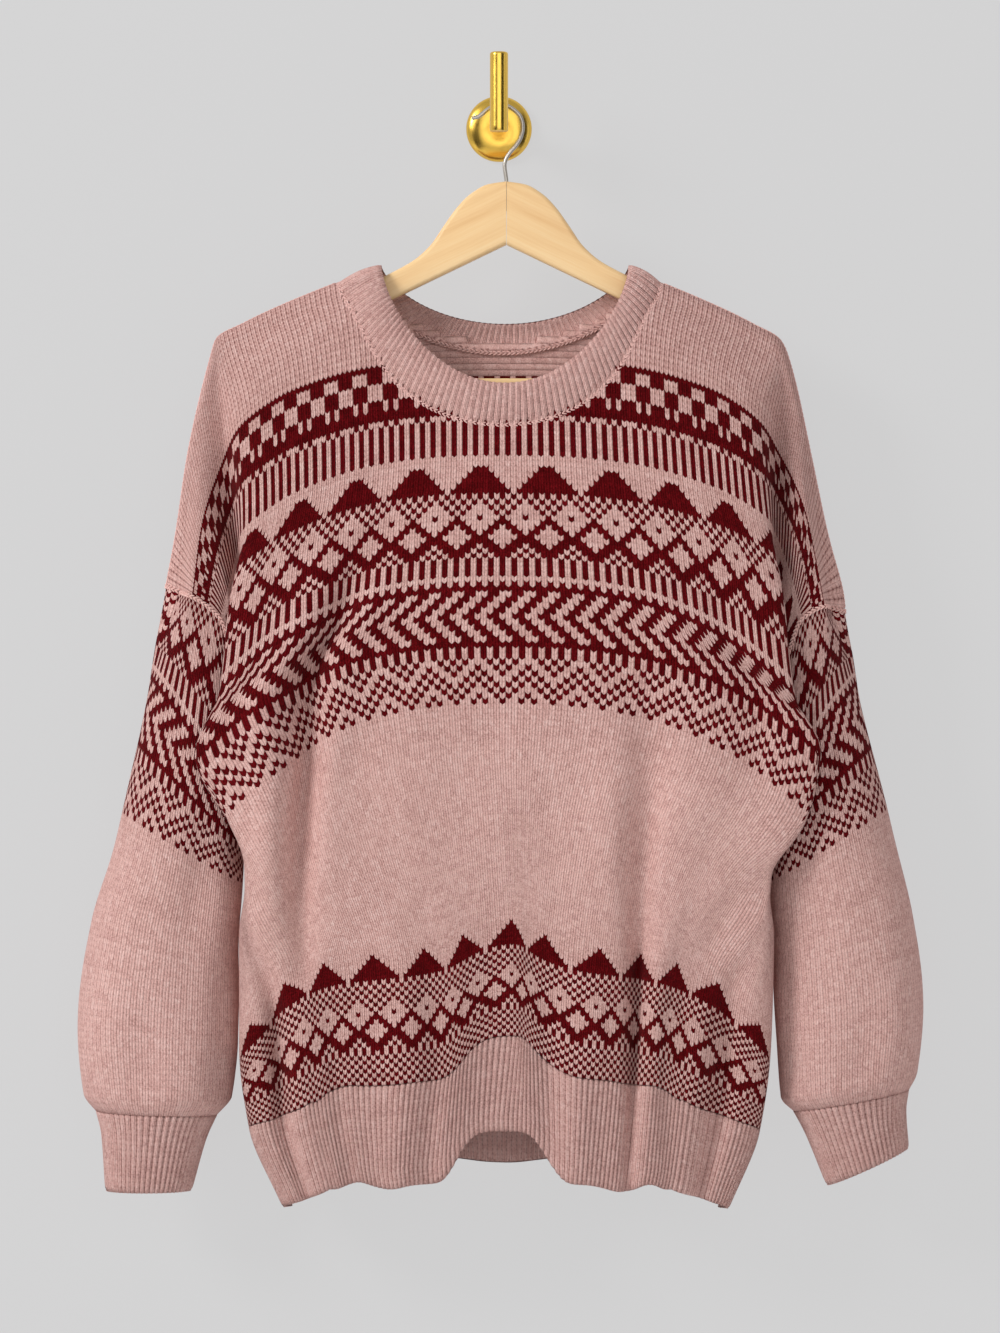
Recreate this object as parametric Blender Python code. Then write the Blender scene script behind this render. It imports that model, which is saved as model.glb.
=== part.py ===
"""Fair isle jumper on a wooden hanger, hung from a brass wall hook.

Metres, +Z up. The origin is the centre of the rosette's back face, on the wall plane y = 0. The garment
hangs in front of the wall, on the -Y side, and +X is the viewer's right.

Every cloth piece is a wall of knitting. The body is worked out from knitting units: a wale is a column of
stitches, counted outwards from the centre of the garment, and a course is a row of stitches, counted down
from the shoulder line. The tables below place the main wales of each course in millimetres.
"""
import math

import bmesh
import bpy
import numpy as np
from mathutils import Vector

MM = 0.001

# ---- driving sizes, in millimetres -------------------------------------------------------------------
HANG_Y = -58.0             # plane of the hanger, halfway between the front and the back of the garment
AXIS_X = 2.6               # the garment hangs this far to the right of the wall hook
SEAM_GAP = 0.5             # between two pieces that are sewn together
SEAM_TILT = 0.85           # each side's share of it where the seam runs across a slope
KNIT_WALL = 2.5            # thickness of the colourwork
RIB_WALL = 3.4             # thickness of the rib
BACK_DEPTH = 0.84          # the back bellies out this much as far as the front does
BACK_HEM_DROP = 30.0       # the back hangs lower than the arched front, at the centre

# ---- the knitting, in stitches -----------------------------------------------------------------------
EDGE_WALE = 96             # armhole and side seam
NECK_WALE = 29             # where the neck meets the shoulder line
FRONT_NECK_COURSES = 32    # depth of the neck at the front
BACK_NECK_COURSES = 18     # and at the back
SHOULDER_COURSE = 5        # up to here the cloth bends over the hanger
SLOPE_COURSE = 20          # and by here it falls straight down
UNDERARM_COURSE = 64
RIB_COURSE = 158           # where the hem rib is picked up
HEM_COURSE = 182
OVER_HANGER = 12.0         # radius of the bend over the hanger, millimetres
ARCH_WALES = 13.8          # half width of the arch that the front hem hangs in
ARCH_COURSE = 140          # from here down its sides grow steeper
BACK_DROP_WALES = 34.0     # half width of the lower part of the back hem

# Depth of each course, front to wall, at the centre, beside the fold, on the fold, in the valley behind it, on
# the lobe of the dropped shoulder and at the seam. droop_power and arch say how the course falls between the
# centre and the fold.
COURSE_DEPTHS = """
course  centre_z  droop_power  arch   centre_y  chest_y  fold_y  valley_y  lobe_y  edge_y
5         -94       1.1        0.0      -70       -70     -70     -70       -70     -70
20       -182       2.8        0.0      -88       -91     -87     -68       -84     -88
38       -253       2.4        0.0      -97      -100     -95     -71       -90     -88
50       -301       2.4        0.0     -101      -103     -98     -77       -86     -80
64       -350       2.4        0.0     -104      -106    -101     -91       -75     -58
73       -387       2.4        0.0     -105      -107    -102     -94       -76     -58
85       -437       2.3        0.0     -106      -107    -102     -95       -78     -58
106      -515       2.0        0.2     -106      -106    -103    -101       -88     -58
128      -597       2.0        0.5     -105      -105    -103    -101       -87     -58
158      -684       2.0        0.6     -101      -101     -98     -96       -82     -58
182      -755       2.0        0.9      -97       -97     -93     -91       -78     -58
"""

# Where the fold, valley, lobe and seam wales of each course lie, outwards from the garment's axis and up.
LEFT_SIDE = """
course  fold_x  fold_z  valley_x  valley_z  lobe_x  lobe_z  edge_x  edge_z
5        211     -175     217      -190      234     -272     241     -354
20       197     -233     207      -250      224     -304     231     -358
38       193     -309     198      -322      205     -355     210     -374
50       203     -363     192      -379      196     -402     197     -427
64       210     -429     188      -440      187     -480     187     -503
73       228     -475     190      -490      183     -520     182     -535
85       204     -523     192      -534      181     -556     176     -572
106      176     -578     190      -590      196     -612     176     -628
128      150     -636     166      -648      196     -690     183     -700
158      143     -733     158      -741      189     -753     179     -758
182      128     -798     141      -804      164     -813     160     -815
"""

RIGHT_SIDE = """
course  fold_x  fold_z  valley_x  valley_z  lobe_x  lobe_z  edge_x  edge_z
5        205     -176     213      -192      230     -269     245     -366
20       193     -229     204      -244      225     -292     240     -365
38       198     -301     204      -310      217     -350     223     -374
50       208     -353     197      -373      203     -400     206     -425
64       217     -432     193      -441      190     -480     188     -503
73       236     -472     196      -490      186     -520     183     -535
85       226     -522     201      -534      183     -556     178     -572
106      179     -578     197      -590      202     -612     178     -628
128      151     -636     167      -648      200     -690     185     -700
158      139     -731     155      -740      192     -755     184     -760
182      126     -798     142      -804      169     -814     164     -816
"""

# Wales that the tables place: the courses are smooth curves through them.
STATION_WALES = np.array([0, 7, 14, 21, 28, 42, 49, 56, 62, 80, 96], dtype=float)
INNER = 8                  # of these, the wales from the centre to the fold
FOLD_WALE = 56

# Creases and hem waves that stand in or out of the smooth body: centre wale, half width in wales, depth
# (outwards positive), the course where each begins, where it is deepest and where it has gone.
FRONT_FOLDS = """
wale  width  depth  begins  deepest  ends
-43     4     -7      52      72      104
 41     4     -8      56      74      108
-30     7      5      88     150      230
 -2    10     -5     100     165      240
 30     4     -9      84     150      230
-62     5     -7     112     150      230
 62     5      6     104     150      230
"""

BACK_FOLDS = """
wale  width  depth  begins  deepest  ends
-36     5     -8      60      84      150
 20     6     -6      70     130      230
-12     7      5      96     160      240
 44     5     -7      48      80      128
"""

# Each sleeve as rings: its outer and inner points, out from the garment's axis and up, and its half depth.
LEFT_SLEEVE = """
outer_x  outer_z  inner_x  inner_z  depth
 -265     -425     -192     -522     34
 -275     -475     -194     -548     35
 -290     -541     -196     -585     36
 -308     -600     -198     -630     38
 -319     -683     -198     -690     39
 -314     -730     -203     -732     36
 -305     -743     -214     -746     29
"""

RIGHT_SLEEVE = """
outer_x  outer_z  inner_x  inner_z  depth
  267     -430      195     -522     34
  280     -484      198     -548     35
  291     -528      200     -580     36
  307     -593      203     -630     38
  316     -668      205     -686     39
  311     -714      209     -733     36
  305     -727      218     -743     29
"""

LEFT_CUFF = """
outer_x  outer_z  inner_x  inner_z  depth
 -305     -743     -214     -746     29
 -301     -760     -222     -764     25
 -298     -803     -233     -803     21
"""

RIGHT_CUFF = """
outer_x  outer_z  inner_x  inner_z  depth
  305     -727      218     -743     29
  303     -742      227     -760     25
  305     -771      243     -799     21
"""

# Top edge of the neckband: an oval that dips at the front and, less, at the back, and stands over the hanger.
BAND_TOP_X = 93.0
BAND_TOP_Z = -107.6
BAND_FRONT_DIP = 91.0
BAND_BACK_DIP = 43.0
BAND_FRONT_Y = -95.0
BAND_BACK_Y = -32.0
BAND_CENTRE_X = 2.0        # the neckband's centre, right of the garment's axis
BAND_SADDLE = 10.1          # half width of the flat stretch over each arm of the hanger
BAND_DIP_POWER = 1.35

# Courses and wales where the cloth walls have their edges.
PANEL_COURSES = np.array([0, 2.5, 5, 10, 20, 29, 38, 46, 55, 64, 73, 85, 96, 106, 117, 128, 138, 148, 158])
HALF_WALES = np.array([0, 6, 11, 15, 19, 24, 27.5, 28.8, 29, 35, 42, 49, 53, 56, 59, 62, 68, 76, 86, 96])
RIB_COURSES = np.array([158, 166, 174, 182])
ARMHOLE_COURSES = PANEL_COURSES[PANEL_COURSES <= UNDERARM_COURSE]
SLEEVE_RINGS = 14

# ---- the hanger and the wall hook --------------------------------------------------------------------
HANGER_X = 5.6             # the mitre between the two arms
ARM_LENGTH = 198.0
ARM_THICK = 11.6
ARM_EDGE = 3.5             # rounding of the arms' long edges
MITRE_GAP = 0.3
UNDER_APEX_Z = -93.5
ARM_SLOPE = 0.482
FOOT_BACK = 26.0           # the foot that holds the bar starts this far from the end of the arm
FOOT_DROP = 17.0
ARM_ROUND = 14.0           # rounding of the end of the arm
BAR_RADIUS = 4.5
BAR_Z = -198.0
BAR_HOLE = 8.0             # how deep the bar sits in each foot
CLEAR = 0.35

# Top of an arm, from the mitre outwards: the bell that the wire is set in, then the straight shoulder.
ARM_TOP = """
along  height
0       -46.0
14      -48.2
27      -55.5
37      -65.6
47      -79.5
57      -94.0
70     -105.5
93     -118.0
"""
ARM_TOP_Z = -46.0          # the highest of these, where the wire goes in

WIRE_RADIUS = 1.5
WIRE_DEPTH = 22.0          # how far the wire goes down into the wood
# The wire's course from the wood up and over the stem, in the hanger's plane.
WIRE_PATH = """
x      z
4.6   -38.0
4.2   -33.5
5.4   -28.8
8.3   -24.1
13.0  -18.6
16.6  -12.0
17.9   -5.0
16.4    2.0
11.6    7.6
5.6    11.0
-1.0   11.8
-8.0    8.6
-12.4   5.0
-16.0   2.6
-20.4   1.6
"""

ROSETTE_RADIUS = 25.0
ROSETTE_RIM = 2.2
ROSETTE_DOME = 7.5
PEG_RADIUS = 6.8
PEG_Y = -75.0
PEG_TOP = 49.0
PEG_FOOT = -10.2           # the bar's lower end
PEG_ROUND = 1.6
STEM_RADIUS = 6.4
PEG_STEM_RISE = 3.2        # the stem rises this much towards the bar

COLOURS = {
    "pink_wool": ((0.62, 0.36, 0.33), 0.95, 0.0),
    "maroon_wool": ((0.13, 0.012, 0.02), 0.95, 0.0),
    "pale_wood": ((0.72, 0.55, 0.38), 0.45, 0.0),
    "steel_wire": ((0.72, 0.71, 0.69), 0.25, 1.0),
    "brass": ((0.78, 0.57, 0.27), 0.28, 1.0),
}


# ---- tables and smooth curves ------------------------------------------------------------------------
def columns(table):
    """A table's columns as arrays, by the names in its first line."""
    lines = [line.split() for line in table.strip().splitlines()]
    return {name: np.array([float(line[i]) for line in lines[1:]]) for i, name in enumerate(lines[0])}


def slopes(knots, values):
    """Slopes of a smooth curve through values (one row a curve) that never overshoots them."""
    steps = np.diff(knots)
    rises = np.diff(values, axis=1) / steps
    before, after = rises[:, :-1], rises[:, 1:]
    weight = (2 * steps[1:] + steps[:-1]) / (3 * (steps[1:] + steps[:-1]))
    mean = weight * before + (1 - weight) * after
    same = before * after > 0
    safe = np.where(same, mean, 1.0)
    middle = np.where(same, before * after / safe, 0.0)
    return np.hstack([rises[:, :1], middle, rises[:, -1:]])


def curve(knots, values, at):
    """The smooth curve through each row of values, read at one place for each row."""
    tangents = slopes(knots, values)
    left = np.clip(np.searchsorted(knots, at, side="right") - 1, 0, len(knots) - 2)
    row = np.arange(len(at))
    step = knots[left + 1] - knots[left]
    t = (at - knots[left]) / step
    return (values[row, left] * (1 + 2 * t) * (1 - t) ** 2 + values[row, left + 1] * t * t * (3 - 2 * t)
            + step * (tangents[row, left] * t * (1 - t) ** 2 - tangents[row, left + 1] * t * t * (1 - t)))


def read_column(knots, values, at):
    """One smooth column of a table, read at any number of places."""
    at = np.asarray(at, dtype=float)
    return curve(knots, np.tile(values, (at.size, 1)), at.ravel()).reshape(at.shape)


# ---- the body of the garment -------------------------------------------------------------------------
DEPTHS = columns(COURSE_DEPTHS)
SIDES = {-1: columns(LEFT_SIDE), 1: columns(RIGHT_SIDE)}


def stations(side, course, back):
    """The table's wales on one side of one course: rows of x outwards, y and z."""
    table = SIDES[side]
    depth = {name: read_column(DEPTHS["course"], DEPTHS[name], course) for name in DEPTHS}
    place = {name: read_column(table["course"], table[name], course) for name in table}
    across = STATION_WALES[:INNER] / FOLD_WALE
    spread = across * (1.15 - 0.15 * across ** 2)
    squareness = 2 + 1.4 * np.clip((course - ARCH_COURSE) / (HEM_COURSE - ARCH_COURSE), 0, 1)
    arch = 1 - np.exp(-(STATION_WALES[:INNER] / ARCH_WALES) ** squareness[:, None])
    arched = np.zeros((len(course), 1)) if back else depth["arch"][:, None]
    fall = arched * arch + (1 - arched) * across ** depth["droop_power"][:, None]
    x = place["fold_x"][:, None] * spread
    z = depth["centre_z"][:, None] + (place["fold_z"] - depth["centre_z"])[:, None] * fall
    y_names = ["centre_y"] * 5 + ["chest_y"] * 2 + ["fold_y", "valley_y", "lobe_y", "edge_y"]
    y = np.stack([depth[name] for name in y_names], axis=1)
    y[:, 4] = (depth["centre_y"] + depth["chest_y"]) / 2
    outer_x = np.stack([place[name + "_x"] for name in ("valley", "lobe", "edge")], axis=1)
    outer_z = np.stack([place[name + "_z"] for name in ("valley", "lobe", "edge")], axis=1)
    x, z = np.hstack([x, outer_x]), np.hstack([z, outer_z])
    # The first wale out is repeated on the other side of the centre, so that courses cross it smoothly.
    return np.hstack([-x[:, 1:2], x]), np.hstack([y[:, 1:2], y]), np.hstack([z[:, 1:2], z])


def folds_at(table, wale, course):
    """How far the creases push the cloth out at each stitch."""
    folds = columns(table)
    push = np.zeros(wale.shape)
    for at, width, depth, begins, deepest, ends in zip(*[folds[name] for name in folds]):
        grow = np.clip((course - begins) / (deepest - begins), 0, 1)
        fade = np.clip((ends - course) / (ends - deepest), 0, 1)
        along = np.minimum(grow, fade)
        push += depth * along * along * (3 - 2 * along) * np.exp(-((wale - at) / width) ** 2)
    return push


def below_shoulder(wale, course, back):
    """The surface from the shoulder course down, one row a stitch: x, y, z in millimetres."""
    knots = np.concatenate([-STATION_WALES[1:2], STATION_WALES])
    points = np.empty((wale.size, 3))
    for side in (-1, 1):
        here = (wale < 0) if side < 0 else (wale >= 0)
        if not here.any():
            continue
        x, y, z = stations(side, course[here], back)
        out = np.abs(wale[here])
        points[here, 0] = AXIS_X + side * curve(knots, x, out)
        points[here, 1] = curve(knots, y, out)
        points[here, 2] = curve(knots, z, out)
    points[:, 1] -= folds_at(BACK_FOLDS if back else FRONT_FOLDS, wale, course)
    return points


def body_surface(wale, course, back=False):
    """Outer surface of the front or the back at any wale and course, in millimetres."""
    wale, course = np.broadcast_arrays(np.asarray(wale, float), np.asarray(course, float))
    shape, wale, course = wale.shape, wale.ravel(), course.ravel()
    points = below_shoulder(wale, np.maximum(course, SHOULDER_COURSE), back)
    # Over the hanger the cloth turns through a quarter circle, up from the way that it falls.
    start = below_shoulder(wale, np.full(wale.size, float(SHOULDER_COURSE)), back)
    onward = below_shoulder(wale, np.full(wale.size, float(SLOPE_COURSE)), back) - start
    onward[:, 1] = 0
    onward /= np.linalg.norm(onward, axis=1)[:, None]
    turn = np.minimum(course, SHOULDER_COURSE) / SHOULDER_COURSE * math.pi / 2
    points[:, 1] += OVER_HANGER * (1 - np.sin(turn))
    points -= (OVER_HANGER * np.cos(turn))[:, None] * onward
    if back:
        inside = np.exp(-(wale / BACK_DROP_WALES) ** 2)
        points[:, 2] -= BACK_HEM_DROP * inside * np.clip((course - 60) / (HEM_COURSE - 60), 0, 1) ** 1.5
        points[:, 1] = HANG_Y + BACK_DEPTH * (HANG_Y - points[:, 1])
    return points.reshape(shape + (3,))


def body_normals(wale, course, back=False):
    """Outward normals of the body, with no pull across the shoulder and side seams."""
    small = 0.05
    left = body_surface(np.maximum(wale - small, -EDGE_WALE), course, back)
    right = body_surface(np.minimum(wale + small, EDGE_WALE), course, back)
    up = body_surface(wale, np.maximum(course - small, 0), back)
    down = body_surface(wale, np.minimum(course + small, HEM_COURSE), back)
    normals = np.cross(right - left, up - down)
    if back:
        normals = -normals
    seam = (course == 0) | ((np.abs(wale) == EDGE_WALE) & (course >= UNDERARM_COURSE))
    normals[..., 1] = np.where(seam, 0, normals[..., 1])
    return normals / np.linalg.norm(normals, axis=-1)[..., None]


def level(normals):
    """The same normals without their rise or fall, for a seam that runs round the garment."""
    flat = normals * np.array([1.0, 1.0, 0.0])
    return flat / np.linalg.norm(flat, axis=-1)[..., None]


def neck_course(wale, depth):
    """The course that the neck is cut to at each wale, 0 outside the neck."""
    return depth * np.sqrt(np.clip(1 - (wale / NECK_WALE) ** 2, 0, 1))


# ---- walls of cloth ----------------------------------------------------------------------------------
def add_object(name, mesh, material):
    """Put a mesh in the scene as one named object with one material."""
    mesh.name = name
    mesh.materials.append(material)
    thing = bpy.data.objects.new(name, mesh)
    bpy.context.scene.collection.objects.link(thing)
    return thing


def cloth_wall(name, outer, inner, material, tube=False):
    """A closed wall between two grids of points; a tube's last column joins its first."""
    rows, cols = outer.shape[:2]
    mesh = bpy.data.meshes.new(name)
    points = np.concatenate([outer.reshape(-1, 3), inner.reshape(-1, 3)]) * MM
    far = rows * cols
    spans = cols if tube else cols - 1
    faces = []
    for r in range(rows - 1):
        for c in range(spans):
            d = (c + 1) % cols
            a, b, e, f = r * cols + c, r * cols + d, (r + 1) * cols + d, (r + 1) * cols + c
            faces.append((a, f, e, b))
            faces.append((far + a, far + b, far + e, far + f))
    for c in range(spans):
        d = (c + 1) % cols
        last = (rows - 1) * cols
        faces.append((c, d, far + d, far + c))
        faces.append((last + c, far + last + c, far + last + d, last + d))
    if not tube:
        for r in range(rows - 1):
            a, f = r * cols, (r + 1) * cols
            b, e = a + cols - 1, f + cols - 1
            faces.append((a, far + a, far + f, f))
            faces.append((b, e, far + e, far + b))
    mesh.from_pydata(points.tolist(), [], faces)
    shape = bmesh.new()
    shape.from_mesh(mesh)
    if shape.calc_volume(signed=True) < 0:
        bmesh.ops.reverse_faces(shape, faces=shape.faces)
    shape.to_mesh(mesh)
    shape.free()
    mesh.shade_smooth()
    return add_object(name, mesh, material)


WALES = np.concatenate([-HALF_WALES[:0:-1], HALF_WALES])


def make_panel(name, back, material):
    """The front or the back: cut at the neck, armholes and sides, down to the rib."""
    depth = BACK_NECK_COURSES if back else FRONT_NECK_COURSES
    top = neck_course(WALES, depth)[None, :]
    course = top + (RIB_COURSE - top) * (PANEL_COURSES / RIB_COURSE)[:, None]
    wale = np.broadcast_to(WALES, course.shape)
    outer = body_surface(wale, course, back)
    normals = body_normals(wale, course, back)
    normals[-1] = level(normals[-1])
    # Step back from the seams: the shoulder, the armholes and sides, and the rib.
    outer[0, :, 1] += (SEAM_GAP if back else -SEAM_GAP) / 2
    outer[-1, :, 2] += SEAM_GAP * SEAM_TILT
    held = len(ARMHOLE_COURSES)
    for column, side in ((0, -1), (-1, 1)):
        seam = armhole(side)[1]
        normals[:held, column] = np.roll(seam[::-1], 1, axis=0)[:held] if back else seam[:held]
        outer[:held, column] -= SEAM_GAP / 2 * sleeve_way(side)
        outer[held - 1:, column, 1] += (SEAM_GAP if back else -SEAM_GAP) / 2
    return cloth_wall(name, outer, outer - KNIT_WALL * normals, material)


def make_hem_rib(name, back, material):
    """The ribbed hem below the front or the back."""
    wale, course = np.meshgrid(WALES, RIB_COURSES.astype(float))
    outer = body_surface(wale, course, back)
    normals = body_normals(wale, course, back)
    normals[0] = level(normals[0])
    outer[0, :, 2] -= SEAM_GAP * SEAM_TILT
    for column in (0, -1):
        outer[:, column, 1] += (SEAM_GAP if back else -SEAM_GAP) / 2
    return cloth_wall(name, outer, outer - RIB_WALL * normals, material)


# ---- sleeves and cuffs -------------------------------------------------------------------------------
RING_TURNS = np.concatenate([ARMHOLE_COURSES / UNDERARM_COURSE, 2 - ARMHOLE_COURSES[-2:0:-1] / UNDERARM_COURSE])


def ring(outer_x, outer_z, inner_x, inner_z, depth):
    """An oval ring from its outer point over the front to its inner point and back behind."""
    angle = RING_TURNS * math.pi
    middle_x, middle_z = (outer_x + inner_x) / 2, (outer_z + inner_z) / 2
    return np.stack([AXIS_X + middle_x + (outer_x - middle_x) * np.cos(angle),
                     HANG_Y - depth * np.sin(angle),
                     middle_z + (outer_z - middle_z) * np.cos(angle)], axis=1)


def sleeve_way(side):
    """The way from the body across the armhole seam to the sleeve: outwards and down."""
    return np.array([side, 0.0, -1.0])


def armhole(side):
    """The sleeve's rings from the armhole seam down, and the seam's normals, halfway between both pieces."""
    points, normals = [], []
    for back in (False, True):
        course = ARMHOLE_COURSES if not back else ARMHOLE_COURSES[-2:0:-1]
        wale = np.full(course.shape, float(side * EDGE_WALE))
        points.append(body_surface(wale, course, back))
        normals.append(body_normals(wale, course, back))
    grid = rings_through(np.concatenate(points), LEFT_SLEEVE if side < 0 else RIGHT_SLEEVE, SLEEVE_RINGS)
    seam = np.concatenate(normals) + tube_normals(grid)[0]
    return grid, seam / np.linalg.norm(seam, axis=1)[:, None]


def cuff_seam(ring_points):
    """Normals for the seam between a sleeve and its cuff: straight out from the middle of the ring."""
    out = ring_points - ring_points.mean(axis=0)
    return out / np.linalg.norm(out, axis=1)[:, None]


def tube_normals(grid):
    """Outward normals of a tube of rings."""
    around = np.roll(grid, -1, axis=1) - np.roll(grid, 1, axis=1)
    along = np.gradient(grid, axis=0)
    normals = np.cross(around, along)
    outward = grid - grid.mean(axis=1, keepdims=True)
    normals *= np.sign((normals * outward).sum(axis=2).mean())
    return normals / np.linalg.norm(normals, axis=2)[..., None]


def rings_through(first, table, count):
    """A tube of rings, smooth from the first ring through each of the table's."""
    rows = columns(table)
    knots = [first] if first is not None else []
    knots += [ring(*[rows[name][i] for name in rows]) for i in range(len(rows["depth"]))]
    knots = np.stack(knots)
    steps = np.linalg.norm(np.diff(knots.mean(axis=1), axis=0), axis=1)
    along = np.concatenate([[0], np.cumsum(steps)])
    flat = knots.reshape(len(knots), -1).T
    places = np.linspace(0, along[-1], count)
    grid = np.stack([curve(along, flat, np.full(len(flat), place)) for place in places])
    return grid.reshape(count, -1, 3)


def make_sleeve(name, side, material):
    """A full sleeve from the armhole seam to its gather at the cuff."""
    grid, seam = armhole(side)
    walls = tube_normals(grid)
    walls[0], walls[-1] = seam, cuff_seam(grid[-1])
    grid[0] += SEAM_GAP / 2 * sleeve_way(side)
    grid[-1, :, 2] += SEAM_GAP / 2
    return cloth_wall(name, grid, grid - KNIT_WALL * walls, material, tube=True)


def make_cuff(name, side, material):
    """A short ribbed cuff."""
    grid = rings_through(None, LEFT_CUFF if side < 0 else RIGHT_CUFF, 4)
    walls = tube_normals(grid)
    walls[0] = cuff_seam(grid[0])
    grid[0, :, 2] -= SEAM_GAP / 2
    return cloth_wall(name, grid, grid - RIB_WALL * walls, material, tube=True)


# ---- neckband ----------------------------------------------------------------------------------------
def make_neckband(name, material):
    """The ribbed band picked up round the neck, over the hanger and round the back."""
    wales = WALES[np.abs(WALES) <= NECK_WALE]
    edge, walls, turns = [], [], []
    for back in (False, True):
        these = wales if not back else wales[-2:0:-1]
        course = neck_course(these, BACK_NECK_COURSES if back else FRONT_NECK_COURSES)
        edge.append(body_surface(these, course, back))
        walls.append(body_normals(these, course, back))
        angle = np.arcsin(these / NECK_WALE)
        turns.append(math.pi - angle if back else angle)
    edge, walls, turn = np.concatenate(edge), np.concatenate(walls), np.concatenate(turns)
    front = np.cos(turn) > 0
    lean = np.abs(np.cos(turn))
    dip = np.where(front, BAND_FRONT_DIP, BAND_BACK_DIP) * lean ** BAND_DIP_POWER
    reach = BAND_SADDLE * np.tanh(lean / 0.08)
    reach += (np.where(front, HANG_Y - BAND_FRONT_Y, BAND_BACK_Y - HANG_Y) - BAND_SADDLE) * lean
    reach *= np.where(front, -1, 1)
    top = np.stack([AXIS_X + BAND_CENTRE_X + BAND_TOP_X * np.sin(turn), HANG_Y + reach, BAND_TOP_Z - dip], axis=1)
    along = (top - edge) / np.linalg.norm(top - edge, axis=1)[:, None]
    edge = edge + SEAM_GAP * along
    rows = np.linspace(0, 1, 4)[:, None, None]
    # The band bows out a little between its seam and its edge.
    grid = edge + (top - edge) * rows + 2.0 * np.sin(rows * math.pi) * walls
    faces = np.cross(np.roll(grid, -1, axis=1) - np.roll(grid, 1, axis=1), np.gradient(grid, axis=0))
    faces *= np.sign((faces[0] * walls).sum(axis=1).mean())
    faces /= np.linalg.norm(faces, axis=2)[..., None]
    faces[0] = walls
    return cloth_wall(name, grid, grid - RIB_WALL * faces, material, tube=True)


# ---- hanger ------------------------------------------------------------------------------------------
def arm_outline():
    """An arm from the front, outwards from the mitre: over the bell, down to the end and back under."""
    top = columns(ARM_TOP)
    bell = np.linspace(0, top["along"][-1], 22)
    outline = list(zip(bell, read_column(top["along"], top["height"], bell)))
    end_top = top["height"][-1] - ARM_SLOPE * (ARM_LENGTH - top["along"][-1])
    foot = BAR_Z - FOOT_DROP / 2
    middle, half = (end_top + foot) / 2, (end_top - foot) / 2
    outline += [(ARM_LENGTH - ARM_ROUND * (1 - math.sin(a)), middle + half * math.cos(a))
                for a in np.linspace(math.radians(20), math.radians(160), 8)]
    outline.append((ARM_LENGTH - FOOT_BACK, foot))
    outline.append((ARM_LENGTH - FOOT_BACK - 4, UNDER_APEX_Z - ARM_SLOPE * (ARM_LENGTH - FOOT_BACK - 4)))
    outline.append((0, UNDER_APEX_Z))
    return outline


def make_arm(name, side, material):
    """One arm of the hanger, cut at the mitre, with rounded long edges and the bar's blind hole."""
    shape = bmesh.new()
    ring_points = []
    for along, height in arm_outline():
        x = HANGER_X + side * (along + MITRE_GAP / 2)
        ring_points.append(shape.verts.new(Vector((x, HANG_Y - ARM_THICK / 2, height)) * MM))
    face = shape.faces.new(ring_points)
    grown = bmesh.ops.extrude_face_region(shape, geom=[face])
    moved = [v for v in grown["geom"] if isinstance(v, bmesh.types.BMVert)]
    bmesh.ops.translate(shape, verts=moved, vec=(0, ARM_THICK * MM, 0))
    bmesh.ops.recalc_face_normals(shape, faces=shape.faces)
    rim = [e for e in shape.edges if abs(e.verts[0].co.y - e.verts[1].co.y) < 1e-6
           and max(abs(v.co.x - HANGER_X * MM) for v in e.verts) > MM]
    bmesh.ops.bevel(shape, geom=rim, offset=ARM_EDGE * MM, segments=3, profile=0.5, affect="EDGES")
    mesh = bpy.data.meshes.new(name)
    shape.to_mesh(mesh)
    shape.free()
    mesh.shade_smooth()
    mesh.set_sharp_from_angle(angle=math.radians(40))
    return add_object(name, mesh, material)


def cut_with(thing, cutter):
    """Take a hidden cutter out of a piece."""
    cut = thing.modifiers.new("hole", "BOOLEAN")
    cut.object = cutter
    cutter.hide_render = True
    cutter.display_type = "WIRE"


def make_rod(name, start, end, radius, material, sides=20):
    """A straight round rod between two points, in millimetres."""
    start, end = Vector(start), Vector(end)
    shape = bmesh.new()
    bmesh.ops.create_cone(shape, cap_ends=True, segments=sides, radius1=radius * MM, radius2=radius * MM,
                          depth=(end - start).length * MM)
    turn = (end - start).to_track_quat("Z", "Y").to_matrix().to_4x4()
    bmesh.ops.transform(shape, matrix=turn, verts=shape.verts)
    bmesh.ops.translate(shape, verts=shape.verts, vec=(start + end) / 2 * MM)
    mesh = bpy.data.meshes.new(name)
    shape.to_mesh(mesh)
    shape.free()
    mesh.shade_smooth()
    mesh.set_sharp_from_angle(angle=math.radians(40))
    return add_object(name, mesh, material)


def swept_rod(name, path, radii, material, sides=12):
    """A round rod along a path in one plane of x or y, with its own radius at each point."""
    path = np.asarray(path, float)
    tangent = np.gradient(path, axis=0)
    tangent /= np.linalg.norm(tangent, axis=1)[:, None]
    across = np.array([0.0, 1.0, 0.0]) if np.ptp(path[:, 1]) < 1e-6 else np.array([1.0, 0.0, 0.0])
    beside = np.cross(tangent, across)
    angle = np.arange(sides) / sides * 2 * math.pi
    points = (path[:, None] + radii[:, None, None] * (np.cos(angle)[None, :, None] * across
              + np.sin(angle)[None, :, None] * beside[:, None]))
    shape = bmesh.new()
    verts = [[shape.verts.new(Vector(p) * MM) for p in loop] for loop in points]
    for lower, upper in zip(verts[:-1], verts[1:]):
        for i in range(sides):
            j = (i + 1) % sides
            shape.faces.new((lower[i], lower[j], upper[j], upper[i]))
    shape.faces.new(verts[0][::-1])
    shape.faces.new(verts[-1])
    bmesh.ops.recalc_face_normals(shape, faces=shape.faces)
    mesh = bpy.data.meshes.new(name)
    shape.to_mesh(mesh)
    shape.free()
    mesh.shade_smooth()
    mesh.set_sharp_from_angle(angle=math.radians(50))
    return add_object(name, mesh, material)


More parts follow.
